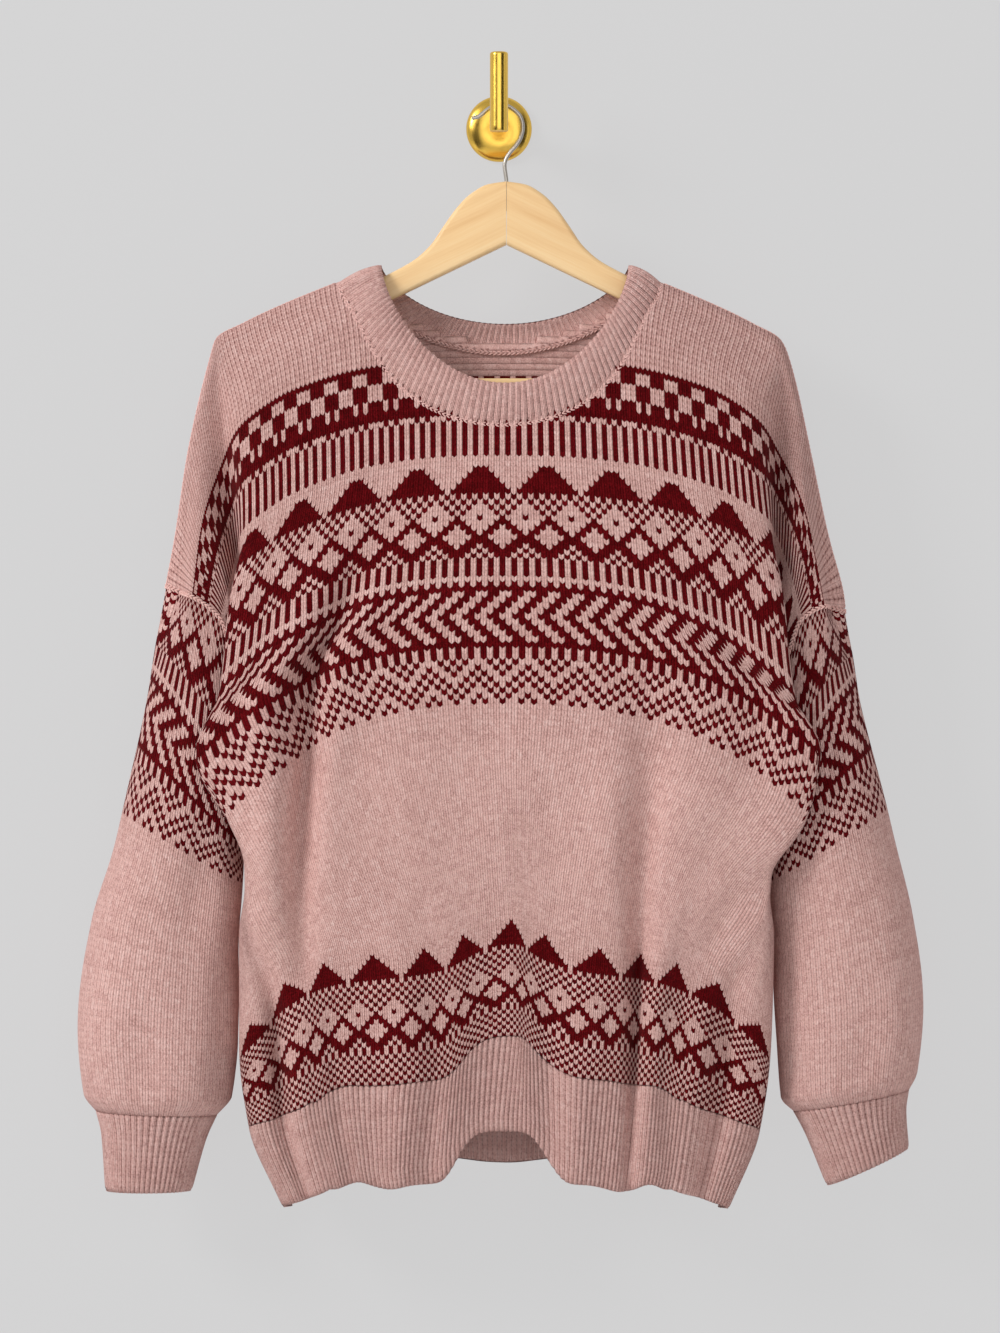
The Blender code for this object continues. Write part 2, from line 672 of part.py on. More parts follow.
def rounded_path(points, count):
    """Points at even steps on a smooth curve through a few."""
    points = np.asarray(points, float)
    along = np.concatenate([[0], np.cumsum(np.linalg.norm(np.diff(points, axis=0), axis=1))])
    places = np.linspace(0, along[-1], count)
    return np.stack([read_column(along, points[:, i], places) for i in range(points.shape[1])], axis=1)


def make_wire(material):
    """The steel hook: straight up out of the wood, round and over the stem, with a short upturned tip."""
    rows = columns(WIRE_PATH)
    points = [(HANGER_X, ARM_TOP_Z - WIRE_DEPTH), (HANGER_X, ARM_TOP_Z)] + list(zip(rows["x"], rows["z"]))
    flat = rounded_path(points, 44)
    path = np.stack([flat[:, 0], np.full(len(flat), HANG_Y), flat[:, 1]], axis=1)
    return swept_rod("hanger_hook", path, np.full(len(path), WIRE_RADIUS), material, sides=10)


def make_peg(material):
    """The rod screwed to the rosette, a little upwards, and the upright bar brazed across its end."""
    start = ROSETTE_RIM + ROSETTE_DOME + 1.3 * CLEAR
    stem = [(0.0, -y, PEG_STEM_RISE * (y / PEG_Y) ** 2) for y in np.linspace(start, -PEG_Y, 8)]
    rod = swept_rod("peg_stem", stem, np.full(len(stem), STEM_RADIUS), material, sides=20)
    heights = [(PEG_FOOT, 0.6), (PEG_FOOT + 0.6, 0), (PEG_STEM_RISE, 0), (PEG_TOP / 2, 0),
               (PEG_TOP - PEG_ROUND, 0), (PEG_TOP - PEG_ROUND * 0.3, PEG_ROUND * 0.3), (PEG_TOP, PEG_ROUND)]
    bar = swept_rod("wall_peg", [(0.0, PEG_Y, z) for z, _ in heights],
                    np.array([PEG_RADIUS - inset for _, inset in heights]), material, sides=24)
    joined = bar.modifiers.new("brazed", "BOOLEAN")
    joined.operation = "UNION"
    joined.object = rod
    rod.hide_render = True
    rod.display_type = "WIRE"
    return bar


def make_rosette(material):
    """The round plate on the wall: a short rim and a shallow dome, flat where the peg screws in."""
    profile = [(0, 0), (ROSETTE_RADIUS - 0.6, 0), (ROSETTE_RADIUS, 0.6), (ROSETTE_RADIUS, ROSETTE_RIM)]
    flat = PEG_RADIUS + 1.2
    for a in np.linspace(0.25, 1, 6):
        share = math.cos(a * math.pi / 2)
        height = ROSETTE_RIM + ROSETTE_DOME * math.sin(a * math.pi / 2)
        profile.append((flat + (ROSETTE_RADIUS - flat) * share, height))
    profile.append((0, ROSETTE_RIM + ROSETTE_DOME))
    shape = bmesh.new()
    verts = [shape.verts.new((r * MM, -h * MM, 0)) for r, h in profile]
    edges = [shape.edges.new(pair) for pair in zip(verts[:-1], verts[1:])]
    bmesh.ops.spin(shape, geom=edges, cent=(0, 0, 0), axis=(0, 1, 0), angle=2 * math.pi, steps=40)
    bmesh.ops.remove_doubles(shape, verts=shape.verts, dist=1e-6)
    bmesh.ops.recalc_face_normals(shape, faces=shape.faces)
    mesh = bpy.data.meshes.new("wall_rosette")
    shape.to_mesh(mesh)
    shape.free()
    mesh.shade_smooth()
    mesh.set_sharp_from_angle(angle=math.radians(40))
    return add_object("wall_rosette", mesh, material)


# ---- the whole object --------------------------------------------------------------------------------
def make_material(name):
    """A plain finish for one material."""
    colour, roughness, metallic = COLOURS[name]
    material = bpy.data.materials.new(name)
    material.use_nodes = True
    shader = material.node_tree.nodes["Principled BSDF"]
    shader.inputs["Base Color"].default_value = (*colour, 1)
    shader.inputs["Roughness"].default_value = roughness
    shader.inputs["Metallic"].default_value = metallic
    return material


def make_hanger(wood, steel):
    """Two mitred arms, the round bar in their feet and the wire set into the top."""
    arms = [make_arm("hanger_arm_left", -1, wood), make_arm("hanger_arm_right", 1, wood)]
    inner = ARM_LENGTH - FOOT_BACK
    reach = inner + BAR_HOLE
    make_rod("hanger_bar", (HANGER_X - reach, HANG_Y, BAR_Z), (HANGER_X + reach, HANG_Y, BAR_Z), BAR_RADIUS, wood)
    for arm, side in zip(arms, (-1, 1)):
        hole = make_rod(arm.name + "_hole", (HANGER_X + side * (inner - 30), HANG_Y, BAR_Z),
                        (HANGER_X + side * (reach + CLEAR), HANG_Y, BAR_Z), BAR_RADIUS + CLEAR, wood, sides=24)
        cut_with(arm, hole)
        bore = make_rod(arm.name + "_bore", (HANGER_X, HANG_Y, ARM_TOP_Z - WIRE_DEPTH - CLEAR),
                        (HANGER_X, HANG_Y, ARM_TOP_Z + WIRE_DEPTH), WIRE_RADIUS + CLEAR, wood, sides=24)
        cut_with(arm, bore)
    make_wire(steel)


def build():
    for thing in list(bpy.data.objects):
        bpy.data.objects.remove(thing)
    pink, maroon, wood, steel, brass = [make_material(name) for name in COLOURS]
    make_panel("front", False, maroon)
    make_panel("back", True, maroon)
    make_hem_rib("hem_rib_front", False, pink)
    make_hem_rib("hem_rib_back", True, pink)
    for side, word in ((-1, "left"), (1, "right")):
        make_sleeve("sleeve_" + word, side, pink)
        make_cuff("cuff_" + word, side, pink)
    make_neckband("neckband", pink)
    make_hanger(wood, steel)
    make_rosette(brass)
    make_peg(brass)


build()
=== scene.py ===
import math

import bmesh
import bpy
import numpy as np
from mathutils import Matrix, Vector


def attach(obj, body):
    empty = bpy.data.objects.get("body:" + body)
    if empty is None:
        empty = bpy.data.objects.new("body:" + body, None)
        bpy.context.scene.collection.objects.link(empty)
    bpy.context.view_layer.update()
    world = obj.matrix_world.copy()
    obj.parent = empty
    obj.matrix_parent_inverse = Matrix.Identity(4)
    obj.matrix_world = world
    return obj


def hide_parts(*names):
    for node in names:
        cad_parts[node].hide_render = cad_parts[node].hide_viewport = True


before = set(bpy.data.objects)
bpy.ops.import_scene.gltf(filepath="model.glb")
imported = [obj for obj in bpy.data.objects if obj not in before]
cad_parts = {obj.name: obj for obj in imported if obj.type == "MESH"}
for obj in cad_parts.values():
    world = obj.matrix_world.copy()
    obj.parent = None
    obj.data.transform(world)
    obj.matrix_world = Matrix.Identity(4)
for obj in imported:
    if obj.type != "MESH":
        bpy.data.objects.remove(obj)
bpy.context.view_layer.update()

MM = 0.001
scene = bpy.context.scene

# ---- The wall, the floor and the light -------------------------------------------------------
# A plain pale wall that the brass hook is screwed to, a pale floor well below, and soft daylight from
# the upper left. The wall shows only its front, so that the back of the jumper can be looked at from
# behind it.
WALL_GREY = (0.08, 0.0797, 0.08, 1)
FLOOR_Z = -1.6
CAMERA_DISTANCE = 3.5
CAMERA_HEIGHT = -0.4097
CAMERA_LENS = 126.0
HANG_Y = -58.0             # millimetres: the plane of the hanger


def link_object(name, mesh):
    """A mesh as an object of the scene."""
    made = bpy.data.objects.new(name, mesh)
    scene.collection.objects.link(made)
    return made


def blank_material(name):
    """A new material, its node tree and its surface shader."""
    material = bpy.data.materials.new(name)
    material.use_nodes = True
    return material, material.node_tree, material.node_tree.nodes["Principled BSDF"]


def plain_card(name, corners, colour, one_sided, glow=0.0):
    """A flat card for the set, four corners anticlockwise as seen from its front."""
    mesh = bpy.data.meshes.new(name)
    mesh.from_pydata(corners, [], [(0, 1, 2, 3)])
    card = link_object(name, mesh)
    paint, tree, shader = blank_material(name)
    nodes, links = tree.nodes, tree.links
    shader.inputs["Base Color"].default_value = colour
    shader.inputs["Roughness"].default_value = 0.9
    shader.inputs["Specular IOR Level"].default_value = 0.1
    shader.inputs["Emission Color"].default_value = colour
    shader.inputs["Emission Strength"].default_value = glow
    if one_sided:
        clear = nodes.new("ShaderNodeBsdfTransparent")
        side = nodes.new("ShaderNodeNewGeometry")
        mix = nodes.new("ShaderNodeMixShader")
        links.new(side.outputs["Backfacing"], mix.inputs["Fac"])
        links.new(shader.outputs["BSDF"], mix.inputs[1])
        links.new(clear.outputs["BSDF"], mix.inputs[2])
        links.new(mix.outputs["Shader"], nodes["Material Output"].inputs["Surface"])
    mesh.materials.append(paint)
    return card


wall = plain_card("studio_wall", [(-4, 0.0006, -3), (4, 0.0006, -3), (4, 0.0006, 3), (-4, 0.0006, 3)],
                  WALL_GREY, True, 7.2)
wall.visible_shadow = False
# Two dark flags and a bright card that only polished metal sees, for crisp edges and a clear face in
# the brass.
FLAGS = """
name         left  right  near   far  foot  top  grey  glow
flag_left    -1.3   -1.3  -3.0  -0.9  -1.2  1.2  0.02   0.0
flag_right    1.5    1.5  -3.2  -0.8  -1.2  1.2  0.02   0.0
bright_card   2.2   -2.2  -4.6  -4.6  -1.2  2.4  0.80   0.5
"""
for line in FLAGS.strip().splitlines()[1:]:
    name, *numbers = line.split()
    left, right, near, far, foot, top, grey, glow = map(float, numbers)
    corners = [(left, near, foot), (right, far, foot), (right, far, top), (left, near, top)]
    flag = plain_card(name, corners, (grey, grey, grey, 1), False, glow)
    flag.visible_shadow = flag.visible_diffuse = flag.visible_camera = False
plain_card("studio_floor", [(-5, -6, FLOOR_Z), (5, -6, FLOOR_Z), (5, 5, FLOOR_Z), (-5, 5, FLOOR_Z)],
           (0.78, 0.78, 0.78, 1), False)

LIGHTS = """
name         x      y      z     size   watts
key        -3.0   -2.1    1.5    1.3    105
front       0.4   -4.2    0.6    3.2     20
right_fill  2.6   -1.6   -0.2    2.0      5
back_fill  -1.2    2.4    0.8    2.4     24
"""
for line in LIGHTS.strip().splitlines()[1:]:
    name, *numbers = line.split()
    x, y, z, size, watts = map(float, numbers)
    light = bpy.data.lights.new("light_" + name, "AREA")
    light.shape = "SQUARE"
    light.size = size
    light.energy = watts
    lamp = bpy.data.objects.new("light_" + name, light)
    lamp.location = (x, y, z)
    lamp.rotation_euler = (Vector((0, -0.05, -0.45)) - lamp.location).to_track_quat("-Z", "Y").to_euler()
    scene.collection.objects.link(lamp)

world = bpy.data.worlds.new("studio")
scene.world = world
world.use_nodes = True
world.node_tree.nodes["Background"].inputs["Color"].default_value = (1, 1, 1, 1)
world.node_tree.nodes["Background"].inputs["Strength"].default_value = 0.45
scene.view_settings.view_transform = "Standard"

camera = bpy.data.objects.new("camera", bpy.data.cameras.new("camera"))
camera.data.lens = CAMERA_LENS
camera.data.sensor_width = 36.0
camera.data.clip_end = 50.0
camera.location = (0.00076, HANG_Y * MM - CAMERA_DISTANCE, CAMERA_HEIGHT)
camera.rotation_euler = (math.radians(90), 0, 0)
scene.collection.objects.link(camera)
scene.camera = camera


# ---- The wool --------------------------------------------------------------------------------
# Two heathered woollen yarns, a dusty pink and a maroon, spun from fibres of several shades. The same
# two yarns make every knitted piece, so their finish is set here, where the first of them is needed.
class Socket:
    """A shader value that can be written into sums."""

    def __init__(self, tree, link):
        self.tree, self.link = tree, link

    def maths(self, operation, first, second):
        return node(self.tree, "ShaderNodeMath", {"operation": operation}, {0: first, 1: second})["Value"]

    def __add__(self, other):
        return self.maths("ADD", self, other)

    def __sub__(self, other):
        return self.maths("SUBTRACT", self, other)

    def __mul__(self, other):
        return self.maths("MULTIPLY", self, other)

    def __pow__(self, other):
        return self.maths("POWER", self, other)

    def __rsub__(self, other):
        return self.maths("SUBTRACT", other, self)

    __radd__, __rmul__ = __add__, __mul__


def node(tree, kind, settings, sockets):
    """Add any node: its settings first, then its sockets' values or links; returns its outputs by name."""
    made = tree.nodes.new(kind)
    for key, value in settings.items():
        if key == "stops":
            ramp = made.color_ramp
            for at, colour in value[2:]:
                ramp.elements.new(at)
            for element, (at, colour) in zip(ramp.elements, sorted(value, key=lambda stop: stop[0])):
                element.position, element.color = at, (*colour, 1)
        else:
            setattr(made, key, value)
    for key, value in sockets.items():
        if isinstance(value, Socket):
            tree.links.new(value.link, made.inputs[key])
        else:
            made.inputs[key].default_value = value
    return {output.name: Socket(tree, output) for output in made.outputs if output.enabled}


def mix_colour(tree, share, first, second, blend="MIX"):
    """Mix two colours by a share from 0 to 1."""
    made = tree.nodes.new("ShaderNodeMix")
    made.data_type, made.blend_type = "RGBA", blend
    for key, value in (("Factor", share), ("A", first), ("B", second)):
        socket = [s for s in made.inputs if s.name == key and s.enabled][0]
        if isinstance(value, Socket):
            tree.links.new(value.link, socket)
        else:
            socket.default_value = value if key == "Factor" else (*value, 1)
    return Socket(tree, [s for s in made.outputs if s.enabled][0])


def noise(tree, place, scale, detail, roughness=0.5):
    """Soft random blotches from 0 to 1."""
    return node(tree, "ShaderNodeTexNoise", {}, {"Vector": place, "Scale": scale, "Detail": detail,
                                                 "Roughness": roughness})["Fac"]


def raise_surface(tree, shader, strength, distance, height):
    """Give a surface a fine relief."""
    relief = node(tree, "ShaderNodeBump", {}, {"Strength": strength, "Distance": distance,
                                               "Height": height})
    tree.links.new(relief["Normal"].link, shader.inputs["Normal"])


def three_tones(tree, tone, colours, edge):
    """Dark below the edge, middling at a half and light above as much less than one."""
    stops = [(edge, colours[0]), (1 - edge, colours[2]), (0.5, colours[1])]
    return node(tree, "ShaderNodeValToRGB", {"stops": stops}, {"Fac": tone})["Color"]


PINK_FIBRES = ((0.47, 0.25, 0.225), (0.745, 0.445, 0.40), (0.88, 0.63, 0.585))
MAROON_FIBRES = ((0.04, 0.0004, 0.0009), (0.105, 0.0009, 0.0025), (0.20, 0.005, 0.009))
HEATHER_SCALE = 1100.0     # single fibres and slubs, about a millimetre
SLUB_SCALE = 420.0


def wool(name, side):
    """Knitted wool: each leg of a stitch is a plump twisted yarn, in the colour that its face carries.

    side is "outside", "inside" for the purl side, or "strand" for loose sewing yarn.
    """
    material, tree, shader = blank_material(name)
    place = node(tree, "ShaderNodeTexCoord", {}, {})["Object"]
    yarn, shade, deep = [node(tree, "ShaderNodeAttribute", {"attribute_name": label}, {})["Fac"]
                         for label in ("yarn", "shade", "deep")]
    fibres = noise(tree, place, HEATHER_SCALE, 3.0, 0.65)
    slubs = noise(tree, place, SLUB_SCALE, 2.0)
    tone = (fibres - 0.5) * 1.6 + (slubs - 0.5) * 0.35 + shade * 0.1 + 0.5
    pink = three_tones(tree, tone, PINK_FIBRES, 0.12)
    maroon = three_tones(tree, tone, MAROON_FIBRES, 0.1)
    colour = mix_colour(tree, yarn, pink, maroon)
    knit = node(tree, "ShaderNodeUVMap", {"uv_map": "knit"}, {})["UV"]
    split = node(tree, "ShaderNodeSeparateXYZ", {}, {"Vector": knit})
    across, along = [node(tree, "ShaderNodeMath", {"operation": "FRACT"}, {0: split[axis]})["Value"]
                     for axis in "XY"]
    round_across = across * (1 - across) * 4
    round_along = along * (1 - along) * 4
    if side == "outside":
        plump = round_across ** 0.55 * (0.62 + round_along ** 0.5 * 0.38)
    elif side == "inside":
        plump = round_along ** 0.6 * 0.92 + round_across ** 0.6 * 0.08
    else:
        plump = 1.0
    # Painted shade darkens the colour deep between the yarns and most of all in the pits between stitches.
    painted_pit_shade = deep ** 1.5 * (1.15 - round_along ** 0.7 * 0.75)
    painted_hollow_shade = (1 - plump) ** 2.0 * 0.35 + painted_pit_shade
    colour = mix_colour(tree, painted_hollow_shade, colour, (0.24, 0.13, 0.12), "MULTIPLY")
    tree.links.new(colour.link, shader.inputs["Base Color"])
    raise_surface(tree, shader, 0.8, 0.0011, plump * 0.8 + fibres * 0.25)
    shader.inputs["Roughness"].default_value = 0.92
    shader.inputs["Specular IOR Level"].default_value = 0.06
    shader.inputs["Sheen Weight"].default_value = 0.03
    shader.inputs["Sheen Roughness"].default_value = 0.45
    shader.inputs["Sheen Tint"].default_value = (1.0, 0.86, 0.84, 1)
    return material


wool_outside = wool("wool", "outside")
wool_inside = wool("wool_inside", "inside")


# ---- Front and back --------------------------------------------------------------------------
# Two panels of stranded stocking stitch, knitted from the hem up in the two yarns and shaped at the
# neck. Each wale and course is a stitch, counted outwards from the centre and down from the shoulder
# line.
AXIS_X = 2.6               # millimetres: the garment hangs this far to the right of the wall hook
SEAM_GAP = 0.5
KNIT_WALL = 2.5
BACK_DEPTH = 0.84          # the back bellies out this much as far as the front does
BACK_HEM_DROP = 30.0
EDGE_WALE = 96
NECK_WALE = 29
FRONT_NECK_COURSES = 32
BACK_NECK_COURSES = 18
SHOULDER_COURSE = 5
UNDERARM_COURSE = 64
RIB_COURSE = 158
HEM_COURSE = 182
OVER_HANGER = 12.0         # radius of the bend over the hanger
ARCH_WALES = 14.2          # half width of the arch that the front hem hangs in
ARCH_COURSE = 140          # from here down its sides grow steeper
BACK_DROP_WALES = 34.0     # half width of the lower part of the back hem
STITCHES = 191             # across a panel
STITCH_V = 0.46            # depth of each stitch's V, in courses

COURSE_DEPTHS = """
course  centre_z  droop_power  arch   centre_y  chest_y  fold_y  valley_y  lobe_y  edge_y
5         -94       1.1        0.0      -70       -70     -70     -70       -70     -70
20       -182       2.8        0.0      -88       -91     -87     -68       -84     -88
38       -253       2.4        0.0      -97      -100     -95     -71       -90     -88
50       -301       2.4        0.0     -101      -103     -98     -77       -86     -80
64       -350       2.4        0.0     -104      -106    -101     -91       -75     -58
73       -387       2.4        0.0     -105      -107    -102     -94       -76     -58
85       -437       2.3        0.0     -106      -107    -102     -95       -78     -58
106      -515       2.0        0.2     -106      -106    -103    -101       -88     -58
128      -597       3.2        0.55    -105      -105    -103    -101       -87     -58
158      -684       4.6        0.67    -101      -101     -98     -96       -82     -58
182      -755       2.4        0.9      -97       -97     -93     -91       -78     -58
"""

LEFT_SIDE = """
course  fold_x  fold_z  valley_x  valley_z  lobe_x  lobe_z  edge_x  edge_z
5        211     -175     217      -190      234     -272     241     -354
20       197     -233     207      -250      224     -304     231     -358
38       193     -309     198      -322      205     -355     210     -374
50       203     -363     192      -379      196     -402     197     -427
64       210     -429     188      -440      187     -480     187     -503
73       228     -475     190      -490      183     -520     182     -535
85       204     -523     192      -534      181     -556     176     -572
106      176     -578     190      -590      196     -612     176     -628
128      150     -636     166      -648      196     -690     183     -700
158      143     -733     158      -741      189     -753     179     -758
182      128     -798     141      -804      164     -813     160     -815
"""

RIGHT_SIDE = """
course  fold_x  fold_z  valley_x  valley_z  lobe_x  lobe_z  edge_x  edge_z
5        205     -176     213      -192      230     -269     245     -366
20       193     -229     204      -244      225     -292     240     -365
38       198     -301     204      -310      217     -350     223     -374
50       208     -353     197      -373      203     -400     206     -425
64       217     -432     193      -441      190     -480     188     -503
73       236     -472     196      -490      186     -520     183     -535
85       226     -522     201      -534      183     -556     178     -572
106      179     -578     197      -590      202     -612     178     -628
128      151     -636     167      -648      200     -690     185     -700
158      139     -731     155      -740      192     -755     184     -760
182      126     -798     142      -804      169     -814     164     -816
"""

STATION_WALES = np.array([0, 7, 14, 21, 28, 42, 49, 56, 62, 80, 96], dtype=float)
INNER = 8                  # of these, the wales from the centre to the fold
FOLD_WALE = 56

# Creases and waves of the cloth: centre wale where it is deepest, half width in wales, how far out (+)
# or in (-), how many wales it drifts in a hundred courses, and the courses where it begins, is deepest
# and has gone.
FRONT_FOLDS = """
wale  width  depth  drift  begins  deepest  ends
-36    4.4  -20.0    -40     46      80      152
-29    4.0    3.5    -40     50      80      120
-44    5.0    8.0    -40     46      80      142
 29    4.0  -12.0     24     70     104      150
 37    3.5  -14.0      6    110     146      204
 22    5.0    3.0     20     76     104      150
 44    4.0    5.0      6     96     150      210
-30    6.0    5.5      0    104     152      230
-22    4.0   -3.5      0    110     160      236
 -2    9.0   -4.0      0    100     165      240
 22    5.0    4.0      0    120     150      230
 14    3.5   -3.0      0    118     162      236
-65    3.4  -14.0      0    104     140      196
-58    4.0    3.0      0    104     145      230
 64    3.4  -12.0      0    110     148      230
 57    4.0    3.0      0    110     150      230
-47    3.0   -3.0      0    126     156      230
 42    4.5   -5.0     10     48      72      110
-20    8.0    1.8      0     60     100      150
 12    8.0   -1.6      0     70     104      140
"""

# Beside a crease the stitches are drawn in towards the centre: centre wale, half width, pull, and
# courses.
FRONT_PULLS = """
wale  width  pull  drift  begins  deepest  ends
-39    6.0   7.0    -40     40      76      120
 46    6.0   2.0      0     42      72      116
 40    4.0   3.5      6     96     150      236
-69    4.0   3.0      0    108     145      236
"""

# The band above the hem hangs pushed aside: centre wale, half width, and how far to the right, in
# millimetres.
HEM_SHIFTS = """
wale  width  aside
-25   16.0    15.0
  0    6.0     6.0
 13    8.0    -6.0
 50   12.0    -6.0
"""

# The front hem's bottom edge rises and dips: centre wale, half width, how far up (+), from the rib down.
HEM_WAVES = """
wale  width  rise
-45    5.0    3.2
-34    5.0   -2.4
 36    7.0   -4.5
 47    4.0    2.5
"""

BACK_FOLDS = """
wale  width  depth  drift  begins  deepest  ends
-36     5     -8    -30      60      84      150
 20     6     -6     12      70     130      230
-12     7      5      0      96     160      240
 44     5     -7     10      48      80      128
-58     4     -5      0     100     140      230
  4     5     -3      0     110     150      230
"""


def columns(table):
    """A table's columns as arrays, by the names in its first line."""
    lines = [line.split() for line in table.strip().splitlines()]
    return {name: np.array([float(line[i]) for line in lines[1:]]) for i, name in enumerate(lines[0])}


def slopes(knots, values):
    """Slopes of a smooth curve through values (one row a curve) that never overshoots them."""
    steps = np.diff(knots)
    rises = np.diff(values, axis=1) / steps
    before, after = rises[:, :-1], rises[:, 1:]
    weight = (2 * steps[1:] + steps[:-1]) / (3 * (steps[1:] + steps[:-1]))
    mean = weight * before + (1 - weight) * after
    same = before * after > 0
    safe = np.where(same, mean, 1.0)
    middle = np.where(same, before * after / safe, 0.0)
    return np.hstack([rises[:, :1], middle, rises[:, -1:]])


def curve(knots, values, at):
    """The smooth curve through each row of values, read at one place for each row."""
    tangents = slopes(knots, values)
    left = np.clip(np.searchsorted(knots, at, side="right") - 1, 0, len(knots) - 2)
    row = np.arange(len(at))
    step = knots[left + 1] - knots[left]
    t = (at - knots[left]) / step
    return (values[row, left] * (1 + 2 * t) * (1 - t) ** 2 + values[row, left + 1] * t * t * (3 - 2 * t)
            + step * (tangents[row, left] * t * (1 - t) ** 2 - tangents[row, left + 1] * t * t * (1 - t)))


def read_column(knots, values, at):
    """One smooth column of a table, read at any number of places."""
    at = np.asarray(at, dtype=float)
    return curve(knots, np.tile(values, (at.size, 1)), at.ravel()).reshape(at.shape)


def read_table(table, course):
    """Every column of a table that goes by course, read at each course asked for."""
    return {name: read_column(table["course"], table[name], course) for name in table}


DEPTHS = columns(COURSE_DEPTHS)
SIDES = {-1: columns(LEFT_SIDE), 1: columns(RIGHT_SIDE)}


def stations(side, course):
    """The table's wales on one side of one course: rows of x outwards, y and z."""
    depth, place = read_table(DEPTHS, course), read_table(SIDES[side], course)
    across = STATION_WALES[:INNER] / FOLD_WALE
    spread = across * (1.15 - 0.15 * across ** 2)
    fall = across ** depth["droop_power"][:, None]
    x = place["fold_x"][:, None] * spread
    z = depth["centre_z"][:, None] + (place["fold_z"] - depth["centre_z"])[:, None] * fall
    y_names = ["centre_y"] * 5 + ["chest_y"] * 2 + ["fold_y", "valley_y", "lobe_y", "edge_y"]
    y = np.stack([depth[name] for name in y_names], axis=1)
    y[:, 4] = (depth["centre_y"] + depth["chest_y"]) / 2
    outer_x, outer_z = [np.stack([place[name + axis] for name in ("valley", "lobe", "edge")], axis=1)
                        for axis in ("_x", "_z")]
    x, z = np.hstack([x, outer_x]), np.hstack([z, outer_z])
    return np.hstack([-x[:, 1:2], x]), np.hstack([y[:, 1:2], y]), np.hstack([z[:, 1:2], z])


def folds_at(table, wale, course):
    """How far the creases push the cloth out at each stitch."""
    folds = columns(table)
    push = np.zeros(wale.shape)
    for at, width, depth, drift, begins, deepest, ends in zip(*folds.values()):
        at = at + drift * (course - deepest) / 100
        grow = np.clip((course - begins) / (deepest - begins), 0, 1)
        fade = np.clip((ends - course) / (ends - deepest), 0, 1)
        along = np.minimum(grow, fade)
        push += depth * along * along * (3 - 2 * along) * np.exp(-((wale - at) / width) ** 2)
    return push


def unevenness(wale, course):
    """Hand knitting never hangs quite smooth: slow hollows and swells of about a millimetre."""
    slow = np.sin(wale * 0.23 + 1.3 * np.sin(course * 0.061))
    slow = slow * np.sin(course * 0.09 + 0.8 * np.sin(wale * 0.11))
    quick = np.sin(wale * 0.61 + course * 0.17) * np.sin(course * 0.37 - wale * 0.13 + 2.0)
    return (0.9 * slow + 0.28 * quick) * np.clip((course - 8) / 30, 0, 1)


def hem_arch(side, wale, course):
    """How far the front's centre is drawn up into its arch, above the plain droop of a course."""
    depth = read_table(DEPTHS, course)
    fold_z = read_column(SIDES[side]["course"], SIDES[side]["fold_z"], course)
    out = np.clip(np.abs(wale), 0, FOLD_WALE)
    squareness = 2 + 2.2 * np.clip((course - ARCH_COURSE) / (HEM_COURSE - ARCH_COURSE), 0, 1)
    arch = 1 - np.exp(-(out / ARCH_WALES) ** squareness)
    plain = (out / FOLD_WALE) ** depth["droop_power"]
    return depth["arch"] * (fold_z - depth["centre_z"]) * (arch - plain)


def below_shoulder(wale, course, back):
    """The surface from the shoulder course down, one row a stitch: x, y, z in millimetres."""
    knots = np.concatenate([-STATION_WALES[1:2], STATION_WALES])
    points = np.empty((wale.size, 3))
    for side in (-1, 1):
        here = (wale < 0) if side < 0 else (wale >= 0)
        if not here.any():
            continue
        x, y, z = stations(side, course[here])
        out = np.abs(wale[here])
        points[here, 0] = AXIS_X + side * curve(knots, x, out)
        points[here, 1] = curve(knots, y, out)
        points[here, 2] = curve(knots, z, out)
        if not back:
            points[here, 2] += hem_arch(side, wale[here], course[here])
    if not back:
        points[:, 0] -= np.sign(wale) * folds_at(FRONT_PULLS, wale, course)
        shifts, waves = columns(HEM_SHIFTS), columns(HEM_WAVES)
        loose = np.clip((course - 95) / 35, 0, 1) - 0.85 * np.clip((course - RIB_COURSE) / 20, 0, 1)
        for at, width, aside in zip(shifts["wale"], shifts["width"], shifts["aside"]):
            points[:, 0] += aside * loose * np.exp(-((wale - at) / width) ** 2)
        low = np.clip((course - RIB_COURSE + 14) / (HEM_COURSE - RIB_COURSE + 14), 0, 1)
        for at, width, rise in zip(waves["wale"], waves["width"], waves["rise"]):
            points[:, 2] += rise * low * np.exp(-((wale - at) / width) ** 2)
    calm = np.clip((EDGE_WALE - np.abs(wale)) / 12, 0, 1)
    points[:, 1] -= folds_at(BACK_FOLDS if back else FRONT_FOLDS, wale, course)
    points[:, 1] -= calm * unevenness(wale, course)
    return points


def body_surface(wale, course, back=False):
    """Outer surface of the front or the back at any wale and course, in millimetres."""
    wale, course = np.broadcast_arrays(np.asarray(wale, float), np.asarray(course, float))
    shape, wale, course = wale.shape, wale.ravel(), course.ravel()
    points = below_shoulder(wale, np.maximum(course, SHOULDER_COURSE), back)
    start = below_shoulder(wale, np.full(wale.size, float(SHOULDER_COURSE)), back)
    onward = below_shoulder(wale, np.full(wale.size, 20.0), back) - start
    onward[:, 1] = 0
    onward /= np.linalg.norm(onward, axis=1)[:, None]
    turn = np.minimum(course, SHOULDER_COURSE) / SHOULDER_COURSE * math.pi / 2
    points[:, 1] += OVER_HANGER * (1 - np.sin(turn))
    points -= (OVER_HANGER * np.cos(turn))[:, None] * onward
    if back:
        inside = np.exp(-(wale / BACK_DROP_WALES) ** 2)
        points[:, 2] -= BACK_HEM_DROP * inside * np.clip((course - 60) / (HEM_COURSE - 60), 0, 1) ** 1.5
        points[:, 1] = HANG_Y + BACK_DEPTH * (HANG_Y - points[:, 1])
    return points.reshape(shape + (3,))


